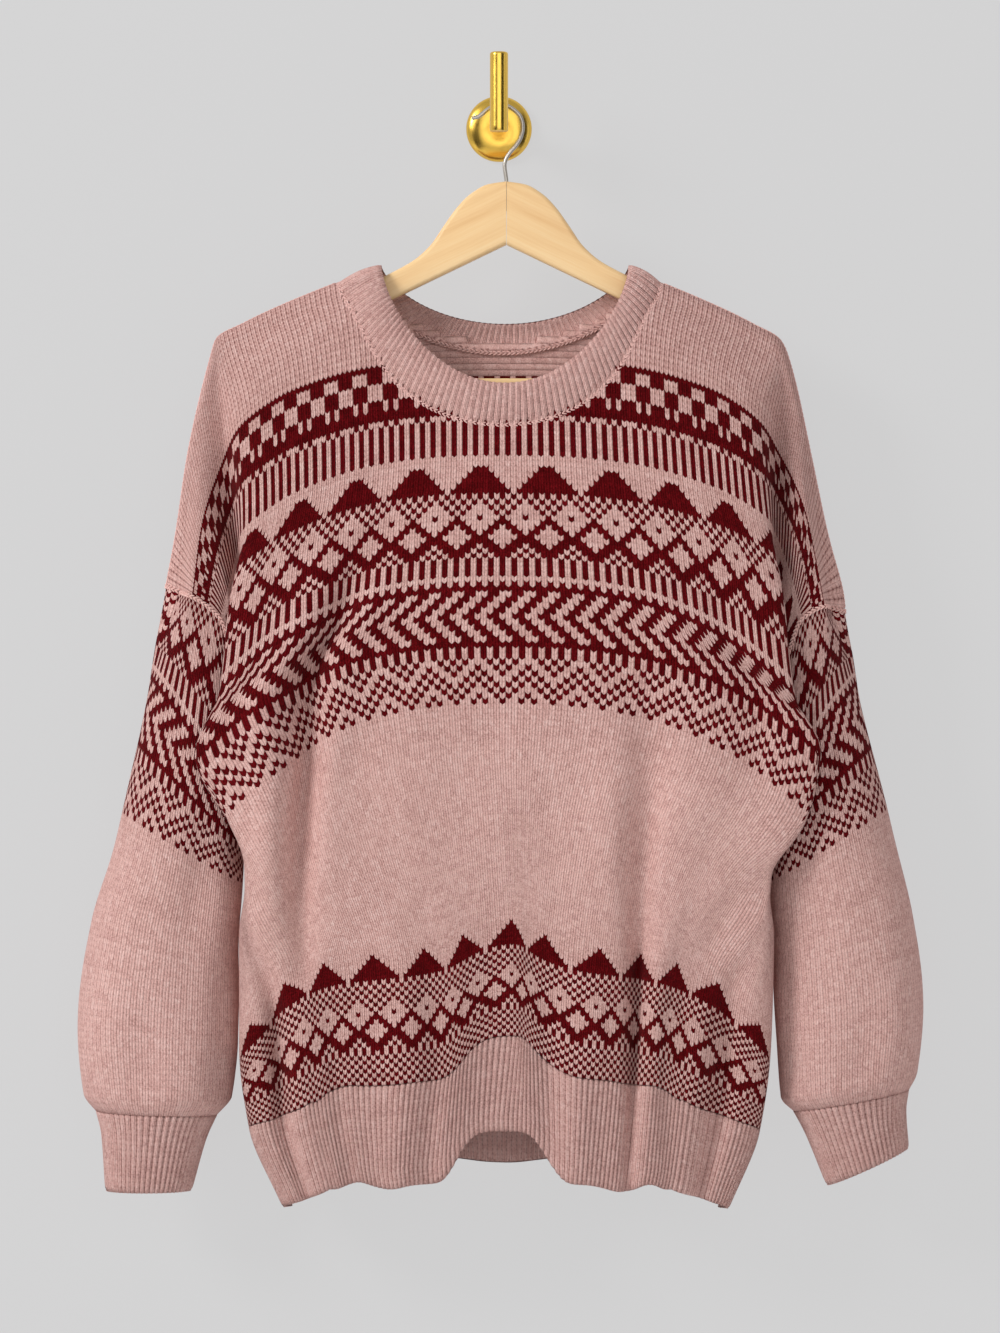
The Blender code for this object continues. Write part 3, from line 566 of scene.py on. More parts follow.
def grid_normals(grid, flip):
    """Normals of a grid of points, rows down and columns across."""
    normals = np.cross(np.gradient(grid, axis=1), np.gradient(grid, axis=0))
    if flip:
        normals = -normals
    return normals / np.linalg.norm(normals, axis=2)[..., None]


def neck_course(wale, depth):
    """The course that the neck is cut to at each wale, 0 outside the neck."""
    return depth * np.sqrt(np.clip(1 - (wale / NECK_WALE) ** 2, 0, 1))


KNIT_PAINTED_SHADE = (0.56, 0.08)    # painted shade at a stitch's edge and at its middle, darkening the colour between wales


def knitted(name, outer, inner, yarn, keep, tube, flip, lining=None, deep=KNIT_PAINTED_SHADE, painted_shade_scale=None):
    """A wall of stitches: outer and inner grids of points, with one yarn colour a stitch.

    outer has several columns a stitch and inner one or more. Stitches that keep leaves out are cut away,
    and the wall is closed round them.
    """
    rows, stitches = yarn.shape
    legs = outer.shape[1] // stitches
    seams = inner.shape[1] // stitches
    far = outer.shape[0] * outer.shape[1]
    points = np.concatenate([outer.reshape(-1, 3), inner.reshape(-1, 3)]) * MM

    def corner(r, c, layer):
        width = inner.shape[1] if layer else outer.shape[1]
        return layer * far + r * width + (c % width if tube else c)

    r, k = np.nonzero(keep)
    faces, uvs, dyes, shades, slots = [], [], [], [], []
    random = np.random.default_rng(7)
    tint = random.uniform(-1, 1, yarn.shape) + random.uniform(-0.3, 0.3, (rows, 1))
    for layer, steps in ((0, legs), (1, seams)):
        for leg in range(steps):
            c = k * steps + leg
            quad = np.stack([corner(r, c, layer), corner(r, c + 1, layer),
                             corner(r + 1, c + 1, layer), corner(r + 1, c, layer)], axis=1)
            left, top = c.astype(float), -r.astype(float)
            uv = np.stack([left, top, left + 1, top, left + 1, top - 1, left, top - 1], axis=1)
            if (layer == 0) == flip:
                quad, uv = quad[:, ::-1], uv.reshape(-1, 4, 2)[:, ::-1].reshape(-1, 8)
            # Outer quads run right then down, which faces the front; the lining faces the other way.
            faces.append(quad[:, ::-1])
            uvs.append(uv.reshape(-1, 4, 2)[:, ::-1].reshape(-1, 2))
            dyes.append((lining if layer and lining is not None else yarn)[r, k])
            shades.append(tint[r, k])
            slots.append(np.full(len(r), layer if seams == 1 else 0))
    quads = np.concatenate(faces)
    rims, rim_uv, rim_dye, rim_shade = [], [], [], []
    padded_keep = np.pad(keep, 1)
    if tube:
        padded_keep[1:-1, 0], padded_keep[1:-1, -1] = keep[:, -1], keep[:, 0]
    for dr, dc in ((-1, 0), (1, 0), (0, -1), (0, 1)):
        beyond = padded_keep[1 + dr:rows + 1 + dr, 1 + dc:stitches + 1 + dc]
        er, ek = np.nonzero(keep & ~beyond)
        for a, b in zip(er, ek):
            if dr:
                row = a + (dr > 0)
                out = [corner(row, b * legs + i, 0) for i in range(legs + 1)]
                back_in = [corner(row, b * seams + i, 1) for i in range(seams, -1, -1)]
            else:
                out = [corner(a + i, (b + (dc > 0)) * legs, 0) for i in range(2)]
                back_in = [corner(a + i, (b + (dc > 0)) * seams, 1) for i in (1, 0)]
            ring = out + back_in
            turn = (dr > 0) != (dc < 0)
            rims.append(ring if turn == flip else ring[::-1])
            rim_uv.extend([(b * legs + 0.5, -a - 0.5)] * len(ring))
            rim_dye.append(yarn[a, b])
            rim_shade.append(tint[a, b])
    mesh = bpy.data.meshes.new(name)
    mesh.from_pydata(points.tolist(), [], quads.tolist() + rims)
    uv_map = mesh.uv_layers.new(name="knit")
    flat = np.concatenate([np.concatenate(uvs), np.array(rim_uv).reshape(-1, 2)])
    uv_map.data.foreach_set("uv", flat.astype(np.float32).ravel())
    for attribute, values in (("yarn", dyes + [rim_dye]), ("shade", shades + [rim_shade])):
        layer = mesh.attributes.new(attribute, "FLOAT", "FACE")
        every = np.concatenate([np.asarray(value, float) for value in values])
        layer.data.foreach_set("value", every.astype(np.float32))
    # Painted shade: a weight at each point of the outer and inner walls darkens the colour between wales.
    painted_shade_scale = np.ones(rows + 1) if painted_shade_scale is None else painted_shade_scale
    outer_painted_shade = painted_shade_scale[:, None] * np.resize(deep, outer.shape[1])
    inner_painted_shade = np.resize(deep, inner.shape[1]) if seams > 1 else np.full(inner.shape[1], 0.15)
    shaded = [outer_painted_shade.ravel(), np.tile(inner_painted_shade, inner.shape[0])]
    painted_pit_shade = mesh.attributes.new("deep", "FLOAT", "POINT")
    painted_pit_shade.data.foreach_set("value", np.concatenate(shaded).astype(np.float32))
    mesh.materials.append(wool_outside)
    mesh.materials.append(wool_inside)
    mesh.polygons.foreach_set("material_index", np.concatenate(slots + [np.zeros(len(rims), int)]))
    mesh.shade_smooth()
    loose = bmesh.new()
    loose.from_mesh(mesh)
    bmesh.ops.delete(loose, geom=[v for v in loose.verts if not v.link_faces], context="VERTS")
    loose.to_mesh(mesh)
    loose.free()
    return link_object(name, mesh)


# The yoke chart from its top row down, in repeats: D is maroon and L is pink.
YOKE_BLOCKS = (["D"] + ["DDDLLL"] * 2 + ["LLLDDD"] * 3 + ["DDDLDL"] * 2 + ["D"] * 2 + ["LLLDLD"] + ["LD"] * 7
               + ["L"] * 2)
# The diamonds from their centre outwards: 0 is the large diamond's centre and 4 the small one's.
DIAMONDS = ["DLDLD", "LDLDL", "LLDLD", "LLLDL", "DLLLD", "LLLDD", "LLDDL", "LDDLL", "DDLLL", "DDDLL", "LDDDL",
            "DLDDD", "LDLDD"]
YOKE_TOP = 20
HEM_BAND_TOP = 128


def apart(stitch, period, centre):
    """How many stitches from the nearest repeat of a motif's centre."""
    return abs((stitch - centre + period // 2) % period - period // 2)


def yoke_row(number, stitch):
    """Whether each stitch of a yoke row is maroon; rows are counted down from 1."""
    if number <= 20:
        repeat = YOKE_BLOCKS[number - 1]
        phase = 1 if len(repeat) == 6 else 0
        return np.array([repeat[(s + phase) % len(repeat)] == "D" for s in stitch])
    if number <= 25:
        return apart(stitch, 12, 8) <= number - 20
    if number <= 38:
        return np.array([DIAMONDS[number - 26][d] == "D" for d in apart(stitch, 8, 4)])
    if number <= 42:
        return stitch % 2 == 0
    if number == 43:
        return np.zeros(stitch.shape, bool)
    if number == 44:
        return stitch % 2 == 0
    if number in (45, 55):
        return np.ones(stitch.shape, bool)
    if number <= 54:
        return (stitch - abs(number - 50)) % 4 >= 2
    if number == 56:
        return stitch % 2 == 1
    step = number - 57
    beyond = step - apart(stitch, 8, 4)
    dots = ((step == 7) & (beyond == 7)) | ((step == 8) & (beyond == 7))
    return ((beyond < 0) & (beyond % 2 == 1)) | (beyond == 2) | (beyond == 4) | dots


def hem_row(number, stitch):
    """The same for the band above the hem."""
    if number <= 6:
        return apart(stitch, 12, 0) <= number - 1
    if number <= 10 or number >= 23:
        return (stitch + number) % 2 == 0
    return np.array([DIAMONDS[number - 10][d] == "D" for d in apart(stitch, 8, 0)])


def panel_chart():
    """Yarn of every stitch of a panel, a row a course, 1 for maroon."""
    stitch = np.arange(STITCHES) - STITCHES // 2
    chart = np.zeros((RIB_COURSE, STITCHES))
    for number in range(1, 66):
        chart[YOKE_TOP + number - 1] = yoke_row(number, stitch)
    for number in range(1, 31):
        chart[HEM_BAND_TOP + number - 1] = hem_row(number, stitch)
    return chart


def stitch_grid(smooth, legs):
    """Pull a smooth grid's rows into the V of each stitch: edges up, centres down."""
    down = np.gradient(smooth, axis=0)
    zigzag = np.where(np.arange(smooth.shape[1]) % legs == legs // 2, 0.5, -0.5) * STITCH_V
    rows = np.ones(smooth.shape[0])
    rows[0] = rows[-1] = 0
    return smooth + down * (zigzag * rows[:, None])[..., None]


def floats_behind(chart):
    """Inside, the yarn that a patterned course does not show lies behind it in floats."""
    patterned = (chart.min(axis=1) != chart.max(axis=1))[:, None]
    return np.where(patterned, 1 - chart, chart)


def make_panel(name, back):
    """The front or the back as a wall of stitches."""
    wale = np.linspace(-EDGE_WALE, EDGE_WALE, 2 * STITCHES + 1)
    course = np.arange(RIB_COURSE + 1, dtype=float)
    wales, courses = np.meshgrid(wale, course)
    smooth = body_surface(wales, courses, back)
    normals = grid_normals(smooth, back)
    normals *= -np.sign((normals[RIB_COURSE // 2, :, 1] * (-1 if back else 1)).mean())
    seam = (courses == 0) | ((np.abs(wales) == EDGE_WALE) & (courses >= UNDERARM_COURSE))
    normals[..., 1] = np.where(seam, 0, normals[..., 1])
    normals /= np.linalg.norm(normals, axis=2)[..., None]
    outer = stitch_grid(smooth, 2)
    outer[0, :, 1] += (SEAM_GAP if back else -SEAM_GAP) / 2
    outer[-1, :, 2] += SEAM_GAP / 2
    inner = (outer - KNIT_WALL * normals)[:, ::2]
    chart = panel_chart()
    depth = BACK_NECK_COURSES if back else FRONT_NECK_COURSES
    middle = (wale[:-1:2] + wale[2::2]) / 2
    keep = course[:-1, None] + 0.5 > neck_course(middle, depth)[None, :] - 1.0
    lining = floats_behind(chart)
    lining[YOKE_TOP:YOKE_TOP + 2] = 0
    lining[YOKE_TOP + 2] = np.arange(STITCHES) % 3 != 1
    # Painted shade between wales, weaker round the middle where the yarn is packed tighter and stands out less.
    painted_shade_scale = np.interp(course, [0, 22, 34, 84, 94, 124, 132], [1.75, 1.6, 1.1, 1.1, 0.6, 0.6, 1.1])
    return knitted(name, outer, inner, chart, keep, False, back, lining, painted_shade_scale=painted_shade_scale)


def fit(piece, cad_node):
    """Put a finished piece in the place of its solid, fixed to the one body."""
    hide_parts(cad_node)
    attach(piece, "root")


front = make_panel("jumper_front", False)
back = make_panel("jumper_back", True)
for piece, cad_node in ((front, "front"), (back, "back")):
    fit(piece, cad_node)


# ---- Hem ribs --------------------------------------------------------------------------------
# A rib of one plain and one purl stitch, picked up along the bottom of each panel in pink wool. The
# knit wales stand up as rounded ridges, on the inside as on the outside.
HEM_RIBS = 140
HEM_ROWS = 24
RIB_WALL = 3.4
RIB_RELIEF = 1.7
RIB_PROFILE = np.array([0.0, 0.86, 1.0, 0.86])
RIB_V = np.array([0.0, -0.28, 0.3, -0.28])
# Painted shade across each rib's four columns, darkest in the furrow.
RIB_PAINTED_SHADE = (0.82, 0.05, 0.0, 0.05)


def rib_wall(name, smooth, normals, rows, ribs, tube, flip, deep=RIB_PAINTED_SHADE):
    """A ribbed piece: a smooth grid with four columns a rib becomes ridges and furrows on both sides."""
    around = smooth.shape[1]
    profile = RIB_PROFILE[np.arange(around) % 4]
    down = np.gradient(smooth, axis=0)
    free = np.ones(rows + 1)
    free[0] = free[-1] = 0
    v = RIB_V[np.arange(around) % 4][None, :, None] * free[:, None, None]
    # The last row rolls over between the two sides of the wall.
    roll = np.zeros(rows + 1)
    roll[-1], roll[-2] = 0.3, 0.06
    relief = RIB_RELIEF * (profile - 1)[None, :] - RIB_WALL * roll[:, None]
    outer = smooth + down * v + normals * relief[..., None]
    inside = np.roll(profile, 2)
    lining = RIB_WALL - RIB_RELIEF * (1 - inside)
    inner = smooth + down * v * -1 - normals * (lining[None, :] - RIB_WALL * roll[:, None])[..., None]
    plain = np.zeros((rows, ribs))
    return knitted(name, outer, inner, plain, plain == 0, tube, flip, deep=deep)


def body_normals(wale, course, back):
    """Outward normals of the body surface."""
    step = 0.05
    across = (body_surface(np.minimum(wale + step, EDGE_WALE), course, back)
              - body_surface(np.maximum(wale - step, -EDGE_WALE), course, back))
    up = body_surface(wale, np.maximum(course - step, 0), back) - body_surface(wale, course + step, back)
    normals = np.cross(across, up) * (-1 if back else 1)
    return normals / np.linalg.norm(normals, axis=-1)[..., None]


def make_hem_rib(name, back):
    """The ribbed hem below the front or the back."""
    wales, courses = np.meshgrid(np.linspace(-EDGE_WALE, EDGE_WALE, HEM_RIBS * 4 + 1),
                                 np.linspace(RIB_COURSE, HEM_COURSE, HEM_ROWS + 1))
    smooth = body_surface(wales, courses, back)
    normals = body_normals(wales, np.minimum(courses, HEM_COURSE - 0.05), back)
    smooth[0, :, 2] -= SEAM_GAP / 2
    return rib_wall(name, smooth, normals, HEM_ROWS, HEM_RIBS, False, back)


for name, cad_node, back_side in (("hem_front", "hem_rib_front", False),
                                  ("hem_back", "hem_rib_back", True)):
    piece = make_hem_rib(name, back_side)
    fit(piece, cad_node)


# ---- Sleeves ---------------------------------------------------------------------------------
# Knitted round as tubes in the same two yarns, set into the armholes, full to the elbow and drawn in at
# the cuff. The colourwork runs on from the yoke for the first forty rows and the rest is plain pink.
LEFT_SLEEVE = """
outer_x  outer_z  inner_x  inner_z  depth
 -265     -425     -192     -522     34
 -275     -475     -194     -548     35
 -290     -541     -196     -585     36
 -308     -600     -198     -630     38
 -319     -683     -198     -690     39
 -314     -730     -203     -732     36
 -305     -743     -214     -746     29
"""

RIGHT_SLEEVE = """
outer_x  outer_z  inner_x  inner_z  depth
  267     -430      195     -522     34
  280     -484      198     -548     35
  291     -528      200     -580     36
  307     -593      203     -630     38
  316     -668      205     -686     39
  311     -714      209     -733     36
  305     -727      218     -743     29
"""

SLEEVE_STITCHES = 80
SLEEVE_ROWS = 91
SLEEVE_CHART_ROWS = 40
SLEEVE_CHART_TOP = 26
# Creases of the sleeves: turn round from the outer edge (0 to 2), half width, depth, and the rows where
# each begins, is deepest and has gone.
SLEEVE_FOLDS = """
turn  width  depth  begins  deepest  ends
0.36   0.10   -3.0      4      16      44
0.62   0.10   -4.0     16      44      86
0.30   0.12    2.5     40      70      96
0.45   0.09   -3.0     58      84      98
0.80   0.08   -3.5     50      80      98
1.40   0.12   -5.0     20      50      98
1.65   0.10   -3.0     50      80      98
"""


def ring(turns, outer_x, outer_z, inner_x, inner_z, depth):
    """An oval ring from its outer point over the front to its inner point and back behind."""
    angle = turns * math.pi
    middle_x, middle_z = (outer_x + inner_x) / 2, (outer_z + inner_z) / 2
    return np.stack([AXIS_X + middle_x + (outer_x - middle_x) * np.cos(angle),
                     HANG_Y - depth * np.sin(angle),
                     middle_z + (outer_z - middle_z) * np.cos(angle)], axis=1)


def rings_through(first, turns, table, count):
    """A tube of rings, smooth from the first ring through each of the table's."""
    rows = columns(table)
    knots = [first] if first is not None else []
    knots += [ring(turns, *[rows[name][i] for name in rows]) for i in range(len(rows["depth"]))]
    knots = np.stack(knots)
    steps = np.linalg.norm(np.diff(knots.mean(axis=1), axis=0), axis=1)
    along = np.concatenate([[0], np.cumsum(steps)])
    flat = knots.reshape(len(knots), -1).T
    places = np.linspace(0, along[-1], count)
    grid = np.stack([curve(along, flat, np.full(len(flat), place)) for place in places])
    return grid.reshape(count, -1, 3)


def tube_normals(grid):
    """Outward normals of a tube of rings."""
    around = np.roll(grid, -1, axis=1) - np.roll(grid, 1, axis=1)
    normals = np.cross(around, np.gradient(grid, axis=0))
    normals *= np.sign((normals * (grid - grid.mean(axis=1, keepdims=True))).sum(axis=2).mean())
    return normals / np.linalg.norm(normals, axis=2)[..., None]


def crease_tube(grid, normals, turns, table):
    """Push a tube's rows in and out along its creases."""
    folds = columns(table)
    rows = np.arange(grid.shape[0])[:, None]
    push = np.zeros(grid.shape[:2])
    for at, width, depth, begins, deepest, ends in zip(*folds.values()):
        along = np.minimum((rows - begins) / (deepest - begins), (ends - rows) / (ends - deepest))
        along = np.clip(along, 0, 1)
        off = np.abs((turns - at + 1) % 2 - 1)
        push += depth * along * along * (3 - 2 * along) * np.exp(-(off / width) ** 2)
    waver = np.sin(turns * 9.4 + rows * 0.13) * np.sin(rows * 0.11 + turns * 3.1)
    push += 0.8 * waver * np.clip(rows / 12, 0, 1)
    settle = np.clip((grid.shape[0] - 1 - rows) / 8, 0, 1)
    return grid + normals * (push * settle)[..., None]


def armhole(side, turns):
    """The armhole's edge, down the front and up the back as turns go from 0 to 2: points and normals."""
    course = UNDERARM_COURSE * np.where(turns <= 1, turns, 2 - turns)
    wale = np.full(turns.shape, float(side * EDGE_WALE))
    return [np.where((turns <= 1)[:, None], shape(wale, course, False), shape(wale, course, True))
            for shape in (body_surface, body_normals)]


def make_sleeve(name, side):
    """A full sleeve from the armhole seam to its gather at the cuff."""
    turns = np.arange(SLEEVE_STITCHES * 2) / SLEEVE_STITCHES
    smooth = rings_through(armhole(side, turns)[0], turns, LEFT_SLEEVE if side < 0 else RIGHT_SLEEVE, SLEEVE_ROWS + 1)
    smooth = crease_tube(smooth, tube_normals(smooth), turns, SLEEVE_FOLDS)
    walls = tube_normals(smooth)
    outer = stitch_grid(smooth, 2)
    outer[0] += SEAM_GAP / 2 * np.array([side, 0.0, -1.0])
    outer[-1, :, 2] += SEAM_GAP / 2
    inner = (outer - KNIT_WALL * walls)[:, ::2]
    stitch = np.arange(SLEEVE_STITCHES) * -side
    chart = np.zeros((SLEEVE_ROWS, SLEEVE_STITCHES))
    for row in range(SLEEVE_CHART_ROWS):
        chart[row] = yoke_row(SLEEVE_CHART_TOP + row, stitch)
    # Painted shade between wales, weaker below the colourwork.
    painted_shade_scale = np.interp(np.arange(SLEEVE_ROWS + 1), [0, 38, 46], [1.2, 1.2, 0.85])
    return knitted(name, outer, inner, chart, chart >= 0, True, side > 0, floats_behind(chart),
                   painted_shade_scale=painted_shade_scale)


for name, side in (("sleeve_left", -1), ("sleeve_right", 1)):
    piece = make_sleeve("knit_" + name, side)
    fit(piece, name)


# ---- Cuffs -----------------------------------------------------------------------------------
# Short ribbed cuffs in pink, picked up round the gathered end of each sleeve.
LEFT_CUFF = """
outer_x  outer_z  inner_x  inner_z  depth
 -305     -743     -214     -746     29
 -301     -760     -222     -764     25
 -298     -803     -233     -803     21
"""

RIGHT_CUFF = """
outer_x  outer_z  inner_x  inner_z  depth
  305     -727      218     -743     29
  303     -742      227     -760     25
  305     -771      243     -799     21
"""

CUFF_RIBS = 54
CUFF_ROWS = 15


def make_cuff(name, side):
    turns = np.arange(CUFF_RIBS * 4) / (CUFF_RIBS * 2)
    smooth = rings_through(None, turns, LEFT_CUFF if side < 0 else RIGHT_CUFF, CUFF_ROWS + 1)
    smooth[0, :, 2] -= SEAM_GAP / 2
    return rib_wall(name, smooth, tube_normals(smooth), CUFF_ROWS, CUFF_RIBS, True, side > 0)


for name, side in (("cuff_left", -1), ("cuff_right", 1)):
    piece = make_cuff("knit_" + name, side)
    fit(piece, name)


# ---- Neckband --------------------------------------------------------------------------------
# A ribbed band picked up round the neck in pink; it stands up over the hanger at the sides and rolls
# over at its top edge. Its inside shows at the back of the neck.
BAND_TOP_X = 93.0
BAND_TOP_Z = -107.6
BAND_FRONT_DIP = 91.0
BAND_BACK_DIP = 43.0
BAND_FRONT_Y = -95.0
BAND_BACK_Y = -32.0
BAND_CENTRE_X = 2.0
BAND_SADDLE = 10.1
BAND_DIP_POWER = 1.35
BAND_BOW = 2.0
BAND_RIBS = 124
BAND_ROWS = 10
# Painted shade in the neckband's furrows, lighter than the hem's.
BAND_PAINTED_SHADE = (0.55, 0.0, 0.0, 0.0)


def neck_edge(turn):
    """The edge of the neck at each turn round it, 0 at the front centre: points and outward normals."""
    wale = NECK_WALE * np.sin(turn)
    lean = np.abs(np.cos(turn))
    front_side = np.cos(turn) > 0
    return [np.where(front_side[:, None], shape(wale, FRONT_NECK_COURSES * lean, False),
                     shape(wale, BACK_NECK_COURSES * lean, True)) for shape in (body_surface, body_normals)]


def even_turns(count):
    """Turns round the neck at equal steps along its edge."""
    fine = np.linspace(-math.pi / 2, math.pi * 1.5, 2001)
    edge = neck_edge(fine)[0]
    along = np.concatenate([[0], np.cumsum(np.linalg.norm(np.diff(edge, axis=0), axis=1))])
    return np.interp(np.linspace(0, along[-1], count, endpoint=False), along, fine)


def make_neckband(name):
    turn = even_turns(BAND_RIBS * 4)
    edge, walls = neck_edge(turn)
    front_side = np.cos(turn) > 0
    lean = np.abs(np.cos(turn))
    dip = np.where(front_side, BAND_FRONT_DIP, BAND_BACK_DIP) * lean ** BAND_DIP_POWER
    reach = BAND_SADDLE * np.tanh(lean / 0.08)
    reach += (np.where(front_side, HANG_Y - BAND_FRONT_Y, BAND_BACK_Y - HANG_Y) - BAND_SADDLE) * lean
    reach *= np.where(front_side, -1, 1)
    top = np.stack([AXIS_X + BAND_CENTRE_X + BAND_TOP_X * np.sin(turn), HANG_Y + reach, BAND_TOP_Z - dip],
                   axis=1)
    edge = edge + SEAM_GAP * (top - edge) / np.linalg.norm(top - edge, axis=1)[:, None]
    rows = np.linspace(0, 1, BAND_ROWS + 1)[:, None, None]
    smooth = edge + (top - edge) * rows + BAND_BOW * np.sin(rows * math.pi) * walls
    around = np.roll(smooth, -1, axis=1) - np.roll(smooth, 1, axis=1)
    normals = np.cross(around, np.gradient(smooth, axis=0))
    normals *= np.sign((normals[0] * walls).sum(axis=1).mean())
    normals /= np.linalg.norm(normals, axis=2)[..., None]
    normals[0] = walls
    return rib_wall(name, smooth, normals, BAND_ROWS, BAND_RIBS, True, False, BAND_PAINTED_SHADE)


neckband = make_neckband("knit_neckband")
fit(neckband, "neckband")


# ---- Seams -----------------------------------------------------------------------------------
# The sleeves are joined on with a chain of the pink yarn that stands up as a fine ridge, and the
# neckband's pick-up shows as a rolled chain, outside all round and inside at the back of the neck. The
# shoulders are grafted the same way.
SEAM_PITCH = 3.4
SEAM_YARN = 1.5
STRAND_LEAN = 0.42         # radians: the slant of each strand of a stitch
STRAND_STRETCH = 1.45      # a strand's length, in stitches
STRAND_ASIDE = 0.45        # how far its middle lies from the line, in thicknesses


def chain_nodes():
    """Geometry nodes that lay a chain of stitches along a line: two slanting strands for each."""
    tree = bpy.data.node_groups.new("chain", "GeometryNodeTree")
    for label, kind in (("Line", "Geometry"), ("Pitch", "Float"), ("Thickness", "Float"),
                        ("Yarn", "Material")):
        tree.interface.new_socket(label, in_out="INPUT", socket_type="NodeSocket" + kind)
    tree.interface.new_socket("Chain", in_out="OUTPUT", socket_type="NodeSocketGeometry")
    inputs, outputs = tree.nodes.new("NodeGroupInput"), tree.nodes.new("NodeGroupOutput")

    def add(kind, settings=(), **sockets):
        made = tree.nodes.new(kind)
        for key, value in dict(settings).items():
            setattr(made, key, value)
        for key, value in sockets.items():
            socket = made.inputs[key.replace("_", " ")]
            if isinstance(value, bpy.types.NodeSocket):
                tree.links.new(value, socket)
            else:
                socket.default_value = value
        return made

    line = add("GeometryNodeMeshToCurve", Mesh=inputs.outputs["Line"])
    steps = add("GeometryNodeResampleCurve", {"mode": "LENGTH"}, Curve=line.outputs["Curve"],
                Length=inputs.outputs["Pitch"])
    strand = add("GeometryNodeMeshUVSphere", Segments=10, Rings=7, Radius=0.5)
    pair = add("GeometryNodeJoinGeometry")
    for lean in (STRAND_LEAN, -STRAND_LEAN):
        size = add("ShaderNodeCombineXYZ", X=inputs.outputs["Pitch"], Y=inputs.outputs["Thickness"],
                   Z=inputs.outputs["Thickness"])
        longer = add("ShaderNodeVectorMath", {"operation": "MULTIPLY"})
        tree.links.new(size.outputs["Vector"], longer.inputs[0])
        longer.inputs[1].default_value = (STRAND_STRETCH, 1.0, 1.0)
        aside = add("ShaderNodeMath", {"operation": "MULTIPLY"})
        tree.links.new(inputs.outputs["Thickness"], aside.inputs[0])
        aside.inputs[1].default_value = math.copysign(STRAND_ASIDE, lean)
        shift = add("ShaderNodeCombineXYZ", Y=aside.outputs["Value"])
        lay = add("GeometryNodeTransform", Geometry=strand.outputs["Mesh"],
                  Translation=shift.outputs["Vector"], Rotation=(0.0, 0.0, lean),
                  Scale=longer.outputs["Vector"])
        tree.links.new(lay.outputs["Geometry"], pair.inputs["Geometry"])
    tangent = add("GeometryNodeInputTangent")
    out = add("GeometryNodeInputNamedAttribute", {"data_type": "FLOAT_VECTOR"}, Name="out")
    upright = add("FunctionNodeAlignRotationToVector", {"axis": "Z"}, Vector=out.outputs["Attribute"])
    along = add("FunctionNodeAlignRotationToVector", {"axis": "X", "pivot_axis": "Z"},
                Rotation=upright.outputs["Rotation"], Vector=tangent.outputs["Tangent"])
    laid = add("GeometryNodeInstanceOnPoints", Points=steps.outputs["Curve"],
               Instance=pair.outputs["Geometry"], Rotation=along.outputs["Rotation"])
    real = add("GeometryNodeRealizeInstances", Geometry=laid.outputs["Instances"])
    soft = add("GeometryNodeSetShadeSmooth", Geometry=real.outputs["Geometry"])
    dyed = add("GeometryNodeSetMaterial", Geometry=soft.outputs["Geometry"],
               Material=inputs.outputs["Yarn"])
    tree.links.new(dyed.outputs["Geometry"], outputs.inputs["Chain"])
    return tree


chain_tree = chain_nodes()
strand_wool = wool("seam_wool", "strand")


def seam_chain(name, points, out, closed):
    """A chain of stitches along a line of points, standing up the way that out points."""
    mesh = bpy.data.meshes.new(name + "_line")
    count = len(points)
    edges = [(i, i + 1) for i in range(count - 1)] + ([(count - 1, 0)] if closed else [])
    mesh.from_pydata((points * MM).tolist(), edges, [])
    upward = mesh.attributes.new("out", "FLOAT_VECTOR", "POINT")
    upward.data.foreach_set("vector", out.astype(np.float32).ravel())
    line = link_object(name + "_line", mesh)
    laying = line.modifiers.new("chain", "NODES")
    laying.node_group = chain_tree
    values = {"Pitch": SEAM_PITCH * MM, "Thickness": SEAM_YARN * MM, "Yarn": strand_wool}
    for item in chain_tree.interface.items_tree:
        if item.in_out == "INPUT" and item.name in values:
            laying[item.identifier] = values[item.name]
    evaluated = line.evaluated_get(bpy.context.evaluated_depsgraph_get())
    made = bpy.data.meshes.new_from_object(evaluated)
    bpy.data.objects.remove(line)
    piece = link_object(name, made)
    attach(piece, "root")
    return piece


for name, side in (("seam_armhole_left", -1), ("seam_armhole_right", 1)):
    points, out = armhole(side, np.linspace(0, 2, 240, endpoint=False))
    seam_chain(name, points + 0.5 * out, out, True)

turn = np.linspace(math.pi * 0.56, math.pi * 1.44, 160)
edge, walls = neck_edge(turn)
seam_chain("seam_neck", edge - (RIB_WALL + 0.4) * walls + np.array([0, 0, -0.8]), -walls, False)

turn = even_turns(320)
edge, walls = neck_edge(turn)
seam_chain("seam_neckband", edge - 0.5 * walls, walls, True)

for name, side in (("seam_shoulder_left", -1), ("seam_shoulder_right", 1)):
    wale = side * np.linspace(NECK_WALE + 1.0, EDGE_WALE - 0.5, 160)
    points = body_surface(wale, np.zeros(160))
    points[:, 1] = HANG_Y
    out = np.cross(np.gradient(points, axis=0), np.array([0.0, 1.0, 0.0])) * side
    out /= np.linalg.norm(out, axis=1)[:, None]
    out *= np.where(out[:, 2:] < 0, -1, 1)
    seam_chain(name, points, out, False)


# ---- Hanger ----------------------------------------------------------------------------------
# Two arms of pale wood sawn to a flat bell shape, mitred together at the middle, with a round wooden
# bar let into their feet. The long edges are rounded over and the wood is waxed.
HANGER_X = 5.6
ARM_LENGTH = 198.0
ARM_THICK = 11.6
ARM_EDGE = 3.5
ARM_ROUND = 14.0
MITRE_GAP = 0.3
UNDER_APEX_Z = -93.5
ARM_SLOPE = 0.482
FOOT_BACK = 26.0
FOOT_DROP = 17.0
BAR_RADIUS = 4.5
BAR_Z = -198.0
BAR_HOLE = 8.0
WOOD_TONES = ((0.80, 0.48, 0.21), (0.89, 0.59, 0.285), (0.95, 0.69, 0.38))
ARM_TOP = """
along  height
0       -46.0
14      -48.2
27      -55.5
37      -65.6
47      -79.5
57      -94.0
70     -105.5
93     -118.0
"""


